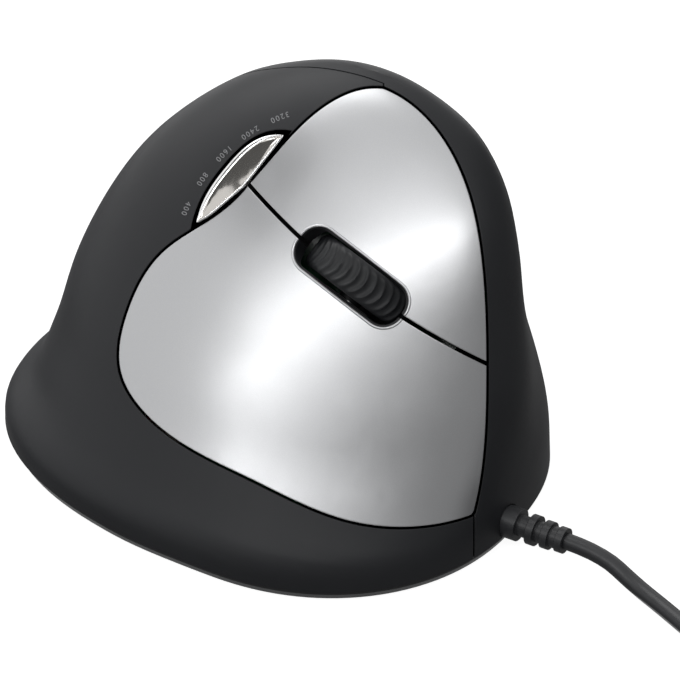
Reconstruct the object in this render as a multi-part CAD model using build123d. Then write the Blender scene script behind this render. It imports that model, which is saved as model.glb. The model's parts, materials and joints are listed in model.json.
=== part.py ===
from build123d import *

import math
import os

# Vertical ergonomic mouse for the right hand, wired.
#
# Frame: +Z up, +Y towards the nose where the cable leaves, +X towards the fingers.
# The origin is on the desk, below the middle of the housing. Lengths are in millimetres,
# angles in degrees.
#
# Two working planes carry most pieces. The face plane looks squarely at the finger
# buttons, and every seam of the finger side is cut along its normal. The deck plane
# touches the skin at the middle of the wheel slot, and holds the wheel, the finger
# hinges and the switches.

# Body
BODY_LENGTH = 106.8
BODY_WIDTH = 82.4
BODY_HEIGHT = 74.0
SHELL_WALL = 2.0
SHELL_SEAM = 0.25
PANEL_GAP = 0.5
OVERRUN = 3.0
BODY_SPAN = BODY_LENGTH + BODY_WIDTH + BODY_HEIGHT

# Base and feet
FOOT_PROUD = 0.6
FOOT_RECESS = 0.3
BASE_THICKNESS = 2.2
BASE_EDGE_INSET = 0.5
BASE_FOOT_INSET = 1.2
BASE_TOP = FOOT_PROUD + BASE_THICKNESS

# The skin is a stack of level outlines. Each row gives its rise as a share of the height
# above the base, its right and left reach and its middle as shares of the half width, its
# front and rear reach and its middle as shares of the half length, and how square its
# four corners are, where 2 is an ellipse: front right, front left, rear left, rear right.
ROW_SHARES = (
    # rise, right, left, front, rear, middle x, middle y, corners
    (0.000, 1.000, -0.978, 1.000, -1.000, 0.000, 0.208, 2.10, 2.35, 1.95, 2.35),
    (0.060, 0.980, -0.995, 0.994, -0.990, 0.000, 0.190, 2.10, 2.35, 1.95, 2.32),
    (0.130, 0.893, -1.000, 0.981, -0.916, -0.050, 0.152, 2.05, 2.35, 1.95, 2.20),
    (0.240, 0.740, -0.959, 0.957, -0.878, -0.120, 0.096, 2.00, 2.40, 2.00, 2.10),
    (0.380, 0.553, -0.886, 0.919, -0.860, -0.218, 0.040, 2.00, 2.30, 2.00, 2.00),
    (0.520, 0.352, -0.825, 0.863, -0.803, -0.316, 0.040, 2.00, 2.00, 2.00, 2.00),
    (0.660, 0.134, -0.825, 0.798, -0.704, -0.413, 0.040, 2.00, 2.00, 2.00, 2.00),
    (0.775, -0.073, -0.825, 0.723, -0.569, -0.510, 0.058, 2.00, 2.00, 2.00, 2.00),
    (0.875, -0.267, -0.837, 0.601, -0.401, -0.595, 0.077, 2.00, 2.00, 2.00, 2.00),
    (0.941, -0.413, -0.801, 0.461, -0.228, -0.631, 0.096, 2.00, 2.00, 2.00, 2.00),
    (0.985, -0.546, -0.740, 0.292, -0.052, -0.655, 0.114, 2.00, 2.00, 2.00, 2.00),
    (1.000, -0.667, -0.667, 0.124, 0.124, -0.667, 0.124, 2.00, 2.00, 2.00, 2.00),
)
SECTION_COUNT = 18
SECTION_POINTS = 36
SECTION_START_SHARE = 0.62
TOP_SECTION_SHARE = 0.985

# The thumb rest is pressed into the left flank, and a shallow valley runs beside the
# front spine. Each is a smooth hollow: its middle and half spread round the body and up
# the rows are shares of the turn and of the stack.
THUMB_SCOOP_DEPTH = 3.6
THUMB_SCOOP_SHARES = (0.47, 0.17, 0.42, 0.26)
SPINE_VALLEY_DEPTH = 1.1
SPINE_VALLEY_SHARES = (0.305, 0.060, 0.33, 0.20)

# Finger face: its bearing round the body, its lean, and the outline of the finger panel.
# Outline places are shares of the turn round the body and of the stack of rows.
FACE_BEARING = 120.0
FACE_LEAN = 36.0
FACE_INNER_LEVEL_SHARE = 0.22
PANEL_RIGHT_SHARES = (
    (0.103, 0.932), (0.170, 0.888), (0.186, 0.740), (0.199, 0.550), (0.203, 0.400),
    (0.204, 0.250), (0.200, 0.165),
)
PANEL_LOWER_SHARES = (
    (0.200, 0.165), (0.165, 0.178), (0.097, 0.210), (0.028, 0.257), (0.956, 0.288),
    (0.922, 0.325), (0.909, 0.400), (0.914, 0.495), (0.937, 0.560), (0.950, 0.635),
)
PANEL_UPPER_SHARES = (
    (0.950, 0.635), (0.955, 0.740), (0.964, 0.848), (0.989, 0.898), (0.103, 0.932),
)
PANEL_CORNER_RADIUS = 1.6
BUTTON_SEAM_GAP = 0.8
BUTTON_SEAM_SHARES = ((0.950, 0.635), (0.017, 0.588), (0.119, 0.498), (0.203, 0.415))
PARTING_SHARE = -0.612
FAR_WALL_TOP_SHARE = 0.89
NOSE_SEAM_SHARES = (0.202, 0.080)

# Wheel, its slot and its cradle
WHEEL_PLACE_SHARES = (0.072, 0.548)
SLOT_LENGTH = 24.0
SLOT_WIDTH = 9.0
SLOT_CORNER_RADIUS = 3.9
WHEEL_RADIUS = 11.3
WHEEL_WIDTH = 7.0
WHEEL_PROUD = 2.6
WHEEL_RUNNING_GAP = 0.05
TYRE_THICKNESS = 2.2
TYRE_RIB_COUNT = 36
TYRE_RIB_DEPTH = 0.45
TYRE_GROOVE_WIDTH = 0.9
TYRE_EDGE_RADIUS = 1.2
HUB_WIDTH = 6.2
HUB_RECESS_RADIUS = 7.2
HUB_RECESS_DEPTH = 1.8
HUB_BOSS_RADIUS = 2.4
AXLE_RADIUS = 1.0
AXLE_SPARE = 0.4
CRADLE_SIDE_GAP = 0.9
CRADLE_WALL = 1.4
CRADLE_LENGTH = 10.0
CRADLE_FLOOR_GAP = 0.8
CRADLE_FLOOR = 1.4
CRADLE_TOP_MARGIN = 1.4
CLICK_TRAVEL = 0.4
ENCODER_WIDTH = 3.0
ENCODER_LENGTH = 9.0
ENCODER_HEIGHT = 8.5
GUIDE_GAP = 0.15
GUIDE_LENGTH = 2.0
GUIDE_HEIGHT = 12.0

# Deck: the board and the frame plate below the wheel
SWITCH_REST_GAP = 0.05
PLUNGER_SIZE = 1.6
PLUNGER_DEPTH = 1.2
PLUNGER_SLIDE_GAP = 0.08
WHEEL_SWITCH_SIZE = (6.0, 6.0)
WHEEL_SWITCH_HEIGHT = 2.6
WHEEL_PLUNGER_HEIGHT = 0.9
BOARD_THICKNESS = 1.6
FRAME_THICKNESS = 1.6
DECK_FRONT = 18.0
DECK_REAR = 25.0
DECK_TOP_SIDE = 13.0
DECK_LOW_SIDE = 26.0
BOARD_REAR = 17.0

# Finger buttons: switches, posts and hinges, at deck places
BUTTON_SWITCH_SIZE = (12.8, 5.8)
BUTTON_SWITCH_HEIGHT = 6.5
BUTTON_PLUNGER_HEIGHT = 0.8
BUTTON_SWITCH_FRONT = 10.0
UPPER_SWITCH_SIDE = 9.2
LOWER_SWITCH_SIDE = -14.0
BUTTON_POST_SIZE = 3.0
HINGE_PIN_RADIUS = 0.8
HINGE_RUNNING_GAP = 0.05
HINGE_EYE_RADIUS = 2.0
HINGE_EYE_WIDTH = 2.0
HINGE_EYE_GAP = 0.3
HINGE_SPAN = 10.0
UPPER_HINGE_REAR = 20.5
UPPER_HINGE_SIDE = 7.0
UPPER_HINGE_DROP = 9.5
LOWER_HINGE_REAR = 22.0
LOWER_HINGE_SIDE = -20.0
LOWER_HINGE_DROP = 12.5
BUTTON_TRAVEL = 0.5

# Resolution key: a chrome lens beside the panel, on its own small frame arm
LENS_INNER_SHARES = (
    (0.931, 0.550), (0.940, 0.575), (0.945, 0.615), (0.950, 0.672), (0.949, 0.727),
)
LENS_OUTER_SHARES = (
    (0.949, 0.727), (0.926, 0.704), (0.919, 0.641), (0.923, 0.586), (0.931, 0.550),
)
LENS_GAP = 0.7
LENS_PROUD = 0.35
LENS_PLACE_SHARES = (0.930, 0.640)
LENS_TRAVEL = 0.35
LENS_POST_SIZE = 2.4
LENS_SWITCH_SIZE = (6.0, 6.0)
LENS_SWITCH_HEIGHT = 3.1
LENS_SWITCH_DROP = 8.0
LENS_PLUNGER_HEIGHT = 0.8

# Side keys on the thumb flank, along a line that dips towards the nose
SIDE_PLACE_SHARES = (0.430, 0.500)
SIDE_DIP = 20.0
SIDE_KEY_HEIGHT = 7.4
SIDE_KEY_LENGTHS = (17.0, 21.0)
SIDE_KEY_SPLIT = 0.7
SIDE_KEY_END_RADIUS = 3.0
SIDE_KEY_INNER_RADIUS = 0.8
SIDE_KEY_PROUD = 0.9
SIDE_KEY_GAP = 0.4
SIDE_TRAVEL = 0.4
SIDE_SWITCH_SIZE = (6.0, 6.0)
SIDE_SWITCH_HEIGHT = 2.6
SIDE_PLUNGER_HEIGHT = 0.7
SIDE_POST_SIZE = 2.4
SIDE_SWITCH_SHARES = (0.5, 0.42)
SIDE_SWITCH_SIDE = -2.2
SIDE_BOARD_DROP = 9.0
SIDE_BOARD_SIZE = (27.0, 7.6)
SIDE_BOARD_PLACE = (0.5, -2.8)
SIDE_TRAY_THICKNESS = 1.6
SIDE_TRAY_FRONT = 10.0
SIDE_ARM_REAR = 21.0
SIDE_ARM_WIDTH = 3.7
SIDE_ARM_TOP = 8.5
SIDE_ARM_DROP = 5.0
SIDE_KEY_WALL = 4.0
SIDE_PRISM_DEPTH = 20.0

# Main board, its sensor and the opening in the base
MAIN_BOARD_X = (6.0, 29.0)
MAIN_BOARD_Y = (-22.0, 20.0)
MAIN_BOARD_LIFT = 5.4
STANDOFF_RADIUS = 2.2
STANDOFF_INSET = 2.8
BOARD_SCREW_RADIUS = 0.9
BOARD_SCREW_GAP = 0.15
BOARD_SCREW_DEPTH = 4.0
BOARD_SCREW_HEAD_RADIUS = 1.8
BOARD_SCREW_HEAD_HEIGHT = 1.2
SENSOR_PLACE = (14.0, -2.0)
SENSOR_SIZE = (10.0, 9.0, 2.6)
LENS_BLOCK = (8.0, 6.4)
LENS_FLANGE = (15.0, 12.0)
LENS_FLANGE_HEIGHT = 0.8
LENS_DEPTH = 1.6
OPENING_GAP = 0.6
LAMP_SIZE = (2.6, 2.6, 2.4)
LAMP_OFFSET = 9.4

# Legs of the inner frame, at deck places, and screw bosses of the shells at desk places
LEG_SIZE = (5.0, 5.0)
LEG_FRONT = 13.0
LEG_REAR = 19.0
LEG_TOP_SIDE = 7.0
LEG_LOW_SIDE = 20.5
LEG_LOW_FRONT = 6.0
BOSS_RADIUS = 3.0
BOSS_HEIGHT = 8.5
BOSS_RIB = 1.6
BASE_SCREW_RADIUS = 1.2
BASE_SCREW_GAP = 0.2
BASE_SCREW_LENGTH = 7.0
BASE_SCREW_TIP_GAP = 1.0
BASE_SCREW_HEAD_RADIUS = 2.4
BASE_SCREW_HEAD_HEIGHT = 1.0
PALM_BOSS_SHARES = ((0.55, 0.56), (0.10, -0.80))
THUMB_BOSS_SHARES = ((-0.70, 0.52), (-0.74, -0.34))

# Glide feet: places as shares of the half width and half length
FOOT_SIZE = (15.0, 5.5)
FOOT_PLACES_SHARES = ((0.05, 0.80), (0.76, 0.08), (-0.76, 0.08), (0.46, -0.62), (-0.56, -0.60))
FOOT_TURNS = (0.0, 90.0, 90.0, 35.0, -35.0)

# Leads between the boards
CONNECTOR_SIZE = (9.0, 3.6, 2.6)
DECK_CONNECTOR_PLACE = (-8.0, -22.5)
MAIN_CONNECTOR_PLACE = (17.0, -14.0)
LEAD_RISE = 4.0
LEAD_DIP = 6.0
LEAD_COUNT = 4
LEAD_RADIUS = 0.55
LEAD_PITCH = 2.0
LEAD_BEND_RADIUS = 2.4
HEADER_SIZE = (7.0, 4.0, 4.0)
HEADER_PLACE = (15.2, 15.0)
INNER_CABLE_STRAIGHT = 9.0

# Cable, strain relief and plug
CABLE_DIAMETER = 3.3
EXIT_SHARE = 0.063
EXIT_HEIGHT = 5.2
RELIEF_LENGTH = 12.0
RELIEF_ROOT_RADIUS = 3.2
RELIEF_END_RADIUS = 2.5
RELIEF_RING_COUNT = 4
RELIEF_RING_WIDTH = 1.5
RELIEF_GROOVE_DEPTH = 1.1
RELIEF_WALL_GAP = 0.15
RELIEF_FLANGE_RADIUS = 4.0
RELIEF_FLANGE_LENGTH = 1.4
RELIEF_NOSE_SLACK = 1.0
CORNER_SHARE = 0.45
CABLE_STRAIGHT = 7.5
CABLE_ROUTE = ((4.4, 81.0, 2.1), (7.4, 88.8, 1.65), (11.0, 96.2, 1.75))
COIL_APPROACH = 7.5
TIE_THICKNESS = 0.6
TIE_GAP = 0.2
TIE_WIDTH = 7.0
COIL_LAYERS = 4
COIL_PITCH = 4.0
COIL_LAYER_RISE = 3.9
COIL_TURNS = 3.2
CLIMB_TURNS = 0.5
COIL_MIDDLE_RADIUS = 19.2
COIL_PLACE = (-5.0, 122.7)
COIL_START_BEARING = -24.2
COIL_CHECK_STEPS = 8
TIE_BEARING = 240.0
TAIL_PLACES = (
    (116.0, 29.3, 12.6), (132.0, 31.5, 9.0), (148.0, 33.3, 5.5), (164.0, 35.0, 3.8),
    (180.0, 36.3, 3.7),
)
TAIL_STRAIGHT = 5.0
PLUG_HOUSING_SIZE = (24.0, 14.5, 7.4)
PLUG_CORNER_RADIUS = 2.4
PLUG_BOOT_LENGTH = 7.0
PLUG_BOOT_RADII = (2.2, 3.1)
PLUG_SHELL_SIZE = (12.0, 12.0, 4.5)
PLUG_SHELL_WALL = 0.3
PLUG_SHELL_SEAT = 4.0
PLUG_TONGUE_HEIGHT = 1.9
PLUG_TONGUE_SIDE_GAP = 0.25
PLUG_TONGUE_SETBACK = 0.6


HALF_LENGTH = BODY_LENGTH / 2
HALF_WIDTH = BODY_WIDTH / 2
SHELL_HEIGHT = BODY_HEIGHT - BASE_TOP


def blended_row(row):
    """The level outline at a share of the stack, smoothly between its neighbours."""
    last = len(ROW_SHARES) - 1
    index = min(int(row * last), last - 1)
    t = row * last - index
    here, above = ROW_SHARES[index], ROW_SHARES[index + 1]
    if index:
        below = ROW_SHARES[index - 1]
    else:
        below = tuple(2 * a - b for a, b in zip(here, above))
    if index + 2 <= last:
        top = ROW_SHARES[index + 2]
    else:
        mid_x, mid_y = above[5], above[6]
        top = (
            here[0], 2 * mid_x - here[2], 2 * mid_x - here[1], 2 * mid_y - here[4],
            2 * mid_y - here[3], 2 * mid_x - here[5], 2 * mid_y - here[6], *here[7:],
        )
    return tuple(
        (2 * b + (c - a) * t + (2 * a - 5 * b + 4 * c - d) * t**2 + (3 * b - a - 3 * c + d) * t**3) / 2
        for a, b, c, d in zip(below, here, above, top)
    )


def hollow(turn, row, shares):
    """How deep a smooth hollow is at a place, from 0 at its rim to 1 in its middle."""
    turn_middle, turn_spread, row_middle, row_spread = shares
    across = abs((turn - turn_middle + 0.5) % 1.0 - 0.5) / turn_spread
    along = abs(row - row_middle) / row_spread
    if across >= 1 or along >= 1:
        return 0.0
    return (math.cos(math.pi * across) + 1) * (math.cos(math.pi * along) + 1) / 4


def skin_point(turn, row):
    """A point of the outer skin, at a share of the turn round the body and of the stack."""
    rise, right, left, front, rear, mid_x, mid_y, *corners = blended_row(row)
    angle = 2 * math.pi * turn
    c, s = math.cos(angle), math.sin(angle)
    if s >= 0:
        corner = corners[0] if c >= 0 else corners[1]
    else:
        corner = corners[3] if c >= 0 else corners[2]
    reach_x = right - mid_x if c >= 0 else mid_x - left
    reach_y = front - mid_y if s >= 0 else mid_y - rear
    x = mid_x + reach_x * math.copysign(abs(c) ** (2 / corner), c)
    y = mid_y + reach_y * math.copysign(abs(s) ** (2 / corner), s)
    scoop = THUMB_SCOOP_DEPTH * hollow(turn, row, THUMB_SCOOP_SHARES)
    valley = SPINE_VALLEY_DEPTH * hollow(turn, row, SPINE_VALLEY_SHARES)
    return Vector(
        x * HALF_WIDTH + scoop - valley * c,
        y * HALF_LENGTH - valley * s,
        BASE_TOP + rise * SHELL_HEIGHT,
    )


def skin_normal(turn, row):
    """The outward direction of the skin at a place."""
    step = 1e-3
    low, high = max(row - step, 0.0), min(row + step, 1.0)
    round_body = skin_point(turn + step, row) - skin_point(turn - step, row)
    up_body = skin_point(turn, high) - skin_point(turn, low)
    return round_body.cross(up_body).normalized()


def skin_solid(depth):
    """The closed body inside the skin, at a depth below it, flat at the base's top."""
    wires = []
    for j in range(SECTION_COUNT):
        row = TOP_SECTION_SHARE * j / (SECTION_COUNT - 1)
        ring = []
        for k in range(SECTION_POINTS):
            turn = (SECTION_START_SHARE + k / SECTION_POINTS) % 1.0
            place = skin_point(turn, row) - skin_normal(turn, row) * depth
            ring.append(Vector(place.X, place.Y, BASE_TOP) if j == 0 else place)
        spacing = [k / SECTION_POINTS for k in range(SECTION_POINTS + 1)]
        wires.append(Wire([Edge.make_spline(ring, periodic=True, parameters=spacing)]))
    crest = skin_point(0.0, 1.0)
    return Solid.make_loft([*wires, Vertex(crest.X, crest.Y, crest.Z - depth)])


def plane_on_skin(turn, row, forward):
    """A plane that touches the skin at a place, with its x along a given direction."""
    normal = skin_normal(turn, row)
    x_dir = forward - normal * forward.dot(normal)
    return Plane(origin=skin_point(turn, row), x_dir=x_dir.normalized(), z_dir=normal)


def face_vectors():
    """Across, up and outward directions of the finger face."""
    bearing, lean = math.radians(FACE_BEARING), math.radians(FACE_LEAN)
    outward = Vector(
        math.sin(bearing) * math.cos(lean), -math.cos(bearing) * math.cos(lean), math.sin(lean)
    )
    across = Vector(math.cos(bearing), math.sin(bearing), 0)
    return across, outward.cross(across), outward


FACE_ACROSS, FACE_UP, FACE_OUT = face_vectors()
FACE = Plane(origin=(0, 0, 0), x_dir=FACE_ACROSS, z_dir=FACE_OUT)
SEAM_START = skin_point(*BUTTON_SEAM_SHARES[0])
SEAM_END = skin_point(*BUTTON_SEAM_SHARES[-1])
DECK = plane_on_skin(*WHEEL_PLACE_SHARES, SEAM_END - SEAM_START)
SIDE_FORWARD = Vector(0, 1, 0).rotate(Axis.X, -SIDE_DIP)
SIDE = plane_on_skin(*SIDE_PLACE_SHARES, SIDE_FORWARD)
LENS = plane_on_skin(*LENS_PLACE_SHARES, SEAM_END - SEAM_START)

OUTER = skin_solid(0.0)
MIDDLE = skin_solid(SHELL_WALL / 2)
INNER = skin_solid(SHELL_WALL)
WALL = OUTER - INNER


def flat(place):
    """A skin place laid flat on the face plane."""
    point = skin_point(*place)
    return Vector(point.dot(FACE_ACROSS), point.dot(FACE_UP), 0)


def prism(plane, outline, low, high):
    """A straight prism over an outline in a plane's own coordinates, between two levels."""
    return plane.location * extrude(Pos(0, 0, low) * outline, amount=high - low)


def block(plane, size, middle):
    """A box with its middle at a place of a plane."""
    return plane.location * (Pos(*middle) * Box(*size))


def rod(plane, radius, low, high):
    """A round bar along a plane's normal, between two levels."""
    return plane.location * (Pos(0, 0, (low + high) / 2) * Cylinder(radius, high - low))


def face_prism(outline):
    """A prism over an outline on the face plane, through the near wall only."""
    return prism(FACE, outline, FACE_INNER_LEVEL_SHARE * BODY_HEIGHT, BODY_HEIGHT)


def inset_ring(ring, gap):
    """The points of a closed outline, each moved inwards by a gap."""
    count = len(ring)
    turning = sum(a.X * b.Y - b.X * a.Y for a, b in zip(ring, ring[1:] + ring[:1]))
    inwards = gap * math.copysign(1, turning)
    moved = []
    for k, point in enumerate(ring):
        before = (point - ring[k - 1]).normalized()
        after = (ring[(k + 1) % count] - point).normalized()
        along = (before + after).normalized()
        side = Vector(-along.Y, along.X, 0)
        moved.append(point + side * (inwards / side.dot(Vector(-before.Y, before.X, 0))))
    return moved


def closed_outline(parts, gap, radius):
    """A closed outline of smooth stretches through skin places, moved inwards by a gap."""
    ring = inset_ring([flat(place) for part in parts for place in part[:-1]], gap)
    edges, corners, first = [], [], 0
    for part in parts:
        last = first + len(part) - 1
        stretch = ring[first : last + 1] + (ring[:1] if last == len(ring) else [])
        edges.append(Spline(*stretch).edge())
        corners.append(ring[first])
        first = last
    outline = Sketch() + make_face(edges)
    for corner in corners[: 2 if radius else 0]:
        outline = fillet(outline.vertices().sort_by_distance(corner)[0], radius)
    return outline


def panel_outline(gap):
    """The opening in the shells for the two finger buttons, moved inwards by a gap."""
    parts = (PANEL_RIGHT_SHARES, PANEL_LOWER_SHARES, PANEL_UPPER_SHARES)
    return closed_outline(parts, gap, PANEL_CORNER_RADIUS)


def lens_outline(gap):
    """The lens-shaped key beside the panel, moved inwards by a gap."""
    return closed_outline((LENS_INNER_SHARES, LENS_OUTER_SHARES), gap, 0)


def seam_side(shift, upwards):
    """Everything on one side of the seam between the buttons, moved off it by a shift."""
    places = [flat(place) for place in BUTTON_SEAM_SHARES]
    along = (places[-1] - places[0]).normalized()
    up = Vector(-along.Y, along.X, 0)
    line = [place + up * shift for place in places]
    start, end = line[0] - along * BODY_HEIGHT, line[-1] + along * BODY_HEIGHT
    away = up * math.copysign(BODY_SPAN, 1 if upwards else -1)
    around = Polyline(line[-1], end, end + away, start + away, start, line[0]).edges()
    return Sketch() + make_face([Spline(*line).edge(), *around])


def slot_outline():
    """The wheel slot, rounded at its corners, half in each finger button."""
    rear, front = flat(BUTTON_SEAM_SHARES[1]), flat(BUTTON_SEAM_SHARES[2])
    turn = math.degrees(math.atan2(front.Y - rear.Y, front.X - rear.X))
    shape = RectangleRounded(SLOT_LENGTH, SLOT_WIDTH, SLOT_CORNER_RADIUS)
    centre = (rear + front) / 2
    return Pos(centre.X, centre.Y) * (Rot(0, 0, turn) * shape)


def largest(shape):
    """The largest solid of a cut."""
    return shape.solids().sort_by(SortBy.VOLUME)[-1]


# Levels below the skin on the deck plane, from the wheel down to the frame plate
AXLE_LEVEL = WHEEL_PROUD - WHEEL_RADIUS
CRADLE_FLOOR_TOP = AXLE_LEVEL - WHEEL_RADIUS - CRADLE_FLOOR_GAP
CRADLE_BOTTOM = CRADLE_FLOOR_TOP - CRADLE_FLOOR
CRADLE_TOP = AXLE_LEVEL + AXLE_RADIUS + CRADLE_TOP_MARGIN
CRADLE_INSIDE = WHEEL_WIDTH / 2 + CRADLE_SIDE_GAP
CRADLE_OUTSIDE = CRADLE_INSIDE + CRADLE_WALL
WHEEL_SWITCH_TOP = CRADLE_BOTTOM - SWITCH_REST_GAP - WHEEL_PLUNGER_HEIGHT
BOARD_TOP = WHEEL_SWITCH_TOP - WHEEL_SWITCH_HEIGHT
BOARD_BOTTOM = BOARD_TOP - BOARD_THICKNESS
FRAME_BOTTOM = BOARD_BOTTOM - FRAME_THICKNESS
BUTTON_SWITCH_TOP = BOARD_TOP + BUTTON_SWITCH_HEIGHT
BUTTON_POST_BOTTOM = BUTTON_SWITCH_TOP + BUTTON_PLUNGER_HEIGHT + SWITCH_REST_GAP


def box_between(low, high):
    """A box between two corners."""
    size = [b - a for a, b in zip(low, high)]
    return Pos(*[(a + b) / 2 for a, b in zip(low, high)]) * Box(*size)


def deck_box(low, high):
    """A box between two corners given on the deck plane."""
    return DECK.location * box_between(low, high)


def pin_plane(rear, side, drop):
    """A plane across the deck through a hinge pin's middle, its normal along the pin."""
    origin = DECK.from_local_coords(Vector(-rear, side, -drop))
    return Plane(origin=origin, x_dir=DECK.x_dir, z_dir=DECK.y_dir)


UPPER_PIN = pin_plane(UPPER_HINGE_REAR, UPPER_HINGE_SIDE, UPPER_HINGE_DROP)
LOWER_PIN = pin_plane(LOWER_HINGE_REAR, LOWER_HINGE_SIDE, LOWER_HINGE_DROP)
AXLE = pin_plane(0, 0, -AXLE_LEVEL)
EYE_MIDDLE = (HINGE_SPAN - HINGE_EYE_WIDTH) / 2
BRACKET_HALF = HINGE_SPAN / 2 - HINGE_EYE_WIDTH - HINGE_EYE_GAP


def finger_button(plate, pin, rear, side, drop, switch_side):
    """A finger button: its plate, two hinge eyes with their webs, and the switch post."""
    post = BUTTON_POST_SIZE / 2
    web = HINGE_EYE_RADIUS / 2
    stems = deck_box(
        (BUTTON_SWITCH_FRONT - post, switch_side - post, BUTTON_POST_BOTTOM),
        (BUTTON_SWITCH_FRONT + post, switch_side + post, 0),
    )
    eyes = []
    for sign in (-1, 1):
        middle = side + sign * EYE_MIDDLE
        half = HINGE_EYE_WIDTH / 2
        stems += deck_box((-rear - web, middle - half, -drop), (-rear + web, middle + half, 0))
        eyes.append(rod(pin, HINGE_EYE_RADIUS, sign * EYE_MIDDLE - half, sign * EYE_MIDDLE + half))
    bore = rod(pin, HINGE_PIN_RADIUS + HINGE_RUNNING_GAP, -HINGE_SPAN, HINGE_SPAN)
    return (plate + (stems & MIDDLE) + eyes) - bore


def switch_case(plane, place, size, top, height, plunger_pocket):
    """A switch case that stands on its board, with a pocket for its plunger."""
    case = Pos(*place, top - height / 2) * Box(*size, height)
    pocket = PLUNGER_SIZE + 2 * PLUNGER_SLIDE_GAP
    case -= Pos(*place, top - plunger_pocket / 2) * Box(pocket, pocket, plunger_pocket)
    return plane.location * case


def plunger(plane, place, top, height):
    """A switch plunger, standing above its case and reaching into its pocket."""
    low, high = top - PLUNGER_DEPTH, top + height
    return block(plane, (PLUNGER_SIZE, PLUNGER_SIZE, high - low), (*place, (low + high) / 2))


def pocket_depth(travel):
    """How deep a plunger's pocket is, for its travel."""
    return PLUNGER_DEPTH + travel + PLUNGER_SLIDE_GAP


def wheel_parts():
    """The ribbed tyre, its hub, the axle, the cradle and the encoder beside it."""
    half = WHEEL_WIDTH / 2
    seat = WHEEL_RADIUS - TYRE_THICKNESS
    tyre = Cylinder(WHEEL_RADIUS, WHEEL_WIDTH)
    tyre = fillet(tyre.edges().filter_by(GeomType.CIRCLE), TYRE_EDGE_RADIUS)
    groove = Box(2 * TYRE_RIB_DEPTH, TYRE_GROOVE_WIDTH, WHEEL_WIDTH + OVERRUN)
    for k in range(TYRE_RIB_COUNT):
        tyre -= Rot(0, 0, k * 360 / TYRE_RIB_COUNT) * (Pos(WHEEL_RADIUS, 0, 0) * groove)
    tyre -= Cylinder(seat, WHEEL_WIDTH + OVERRUN)
    hub = Cylinder(seat, HUB_WIDTH)
    for sign in (-1, 1):
        recess = Cylinder(HUB_RECESS_RADIUS, HUB_RECESS_DEPTH)
        recess -= Cylinder(HUB_BOSS_RADIUS, HUB_RECESS_DEPTH)
        hub -= Pos(0, 0, sign * (HUB_WIDTH - HUB_RECESS_DEPTH) / 2) * recess
    hub -= Cylinder(AXLE_RADIUS, WHEEL_WIDTH)
    encoder_end = CRADLE_OUTSIDE + ENCODER_WIDTH
    axle = rod(AXLE, AXLE_RADIUS, -encoder_end + AXLE_SPARE, CRADLE_OUTSIDE + AXLE_SPARE)
    bore = rod(AXLE, AXLE_RADIUS + WHEEL_RUNNING_GAP, -encoder_end + AXLE_SPARE / 2, encoder_end)
    reach = CRADLE_LENGTH / 2
    cradle = deck_box(
        (-reach, -CRADLE_OUTSIDE, CRADLE_BOTTOM), (reach, CRADLE_OUTSIDE, CRADLE_FLOOR_TOP)
    )
    for sign in (-1, 1):
        sides = sorted((sign * CRADLE_INSIDE, sign * CRADLE_OUTSIDE))
        cradle += deck_box(
            (-reach, sides[0], CRADLE_FLOOR_TOP), (reach, sides[1], CRADLE_TOP)
        )
    encoder = deck_box(
        (-ENCODER_LENGTH / 2, -encoder_end, AXLE_LEVEL - ENCODER_HEIGHT / 2),
        (ENCODER_LENGTH / 2, -CRADLE_OUTSIDE, AXLE_LEVEL + ENCODER_HEIGHT / 2),
    )
    return {
        "wheel_tyre": AXLE.location * tyre,
        "wheel_hub": AXLE.location * hub,
        "wheel_axle": axle,
        "wheel_cradle": cradle - bore,
        "wheel_encoder": encoder - bore,
    }


def guide_posts(spare):
    """The four posts on the frame plate that guide the cradle, with a spare all round."""
    posts = []
    near = CRADLE_LENGTH / 2 + GUIDE_GAP - spare
    far = CRADLE_LENGTH / 2 + GUIDE_GAP + GUIDE_LENGTH + spare
    for x_sign in (-1, 1):
        for y_sign in (-1, 1):
            xs = sorted((x_sign * near, x_sign * far))
            ys = sorted((y_sign * (CRADLE_INSIDE - spare), y_sign * (CRADLE_OUTSIDE + spare)))
            top = BOARD_BOTTOM + GUIDE_HEIGHT
            posts.append(deck_box((xs[0], ys[0], BOARD_BOTTOM), (xs[1], ys[1], top)))
    return posts


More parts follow.
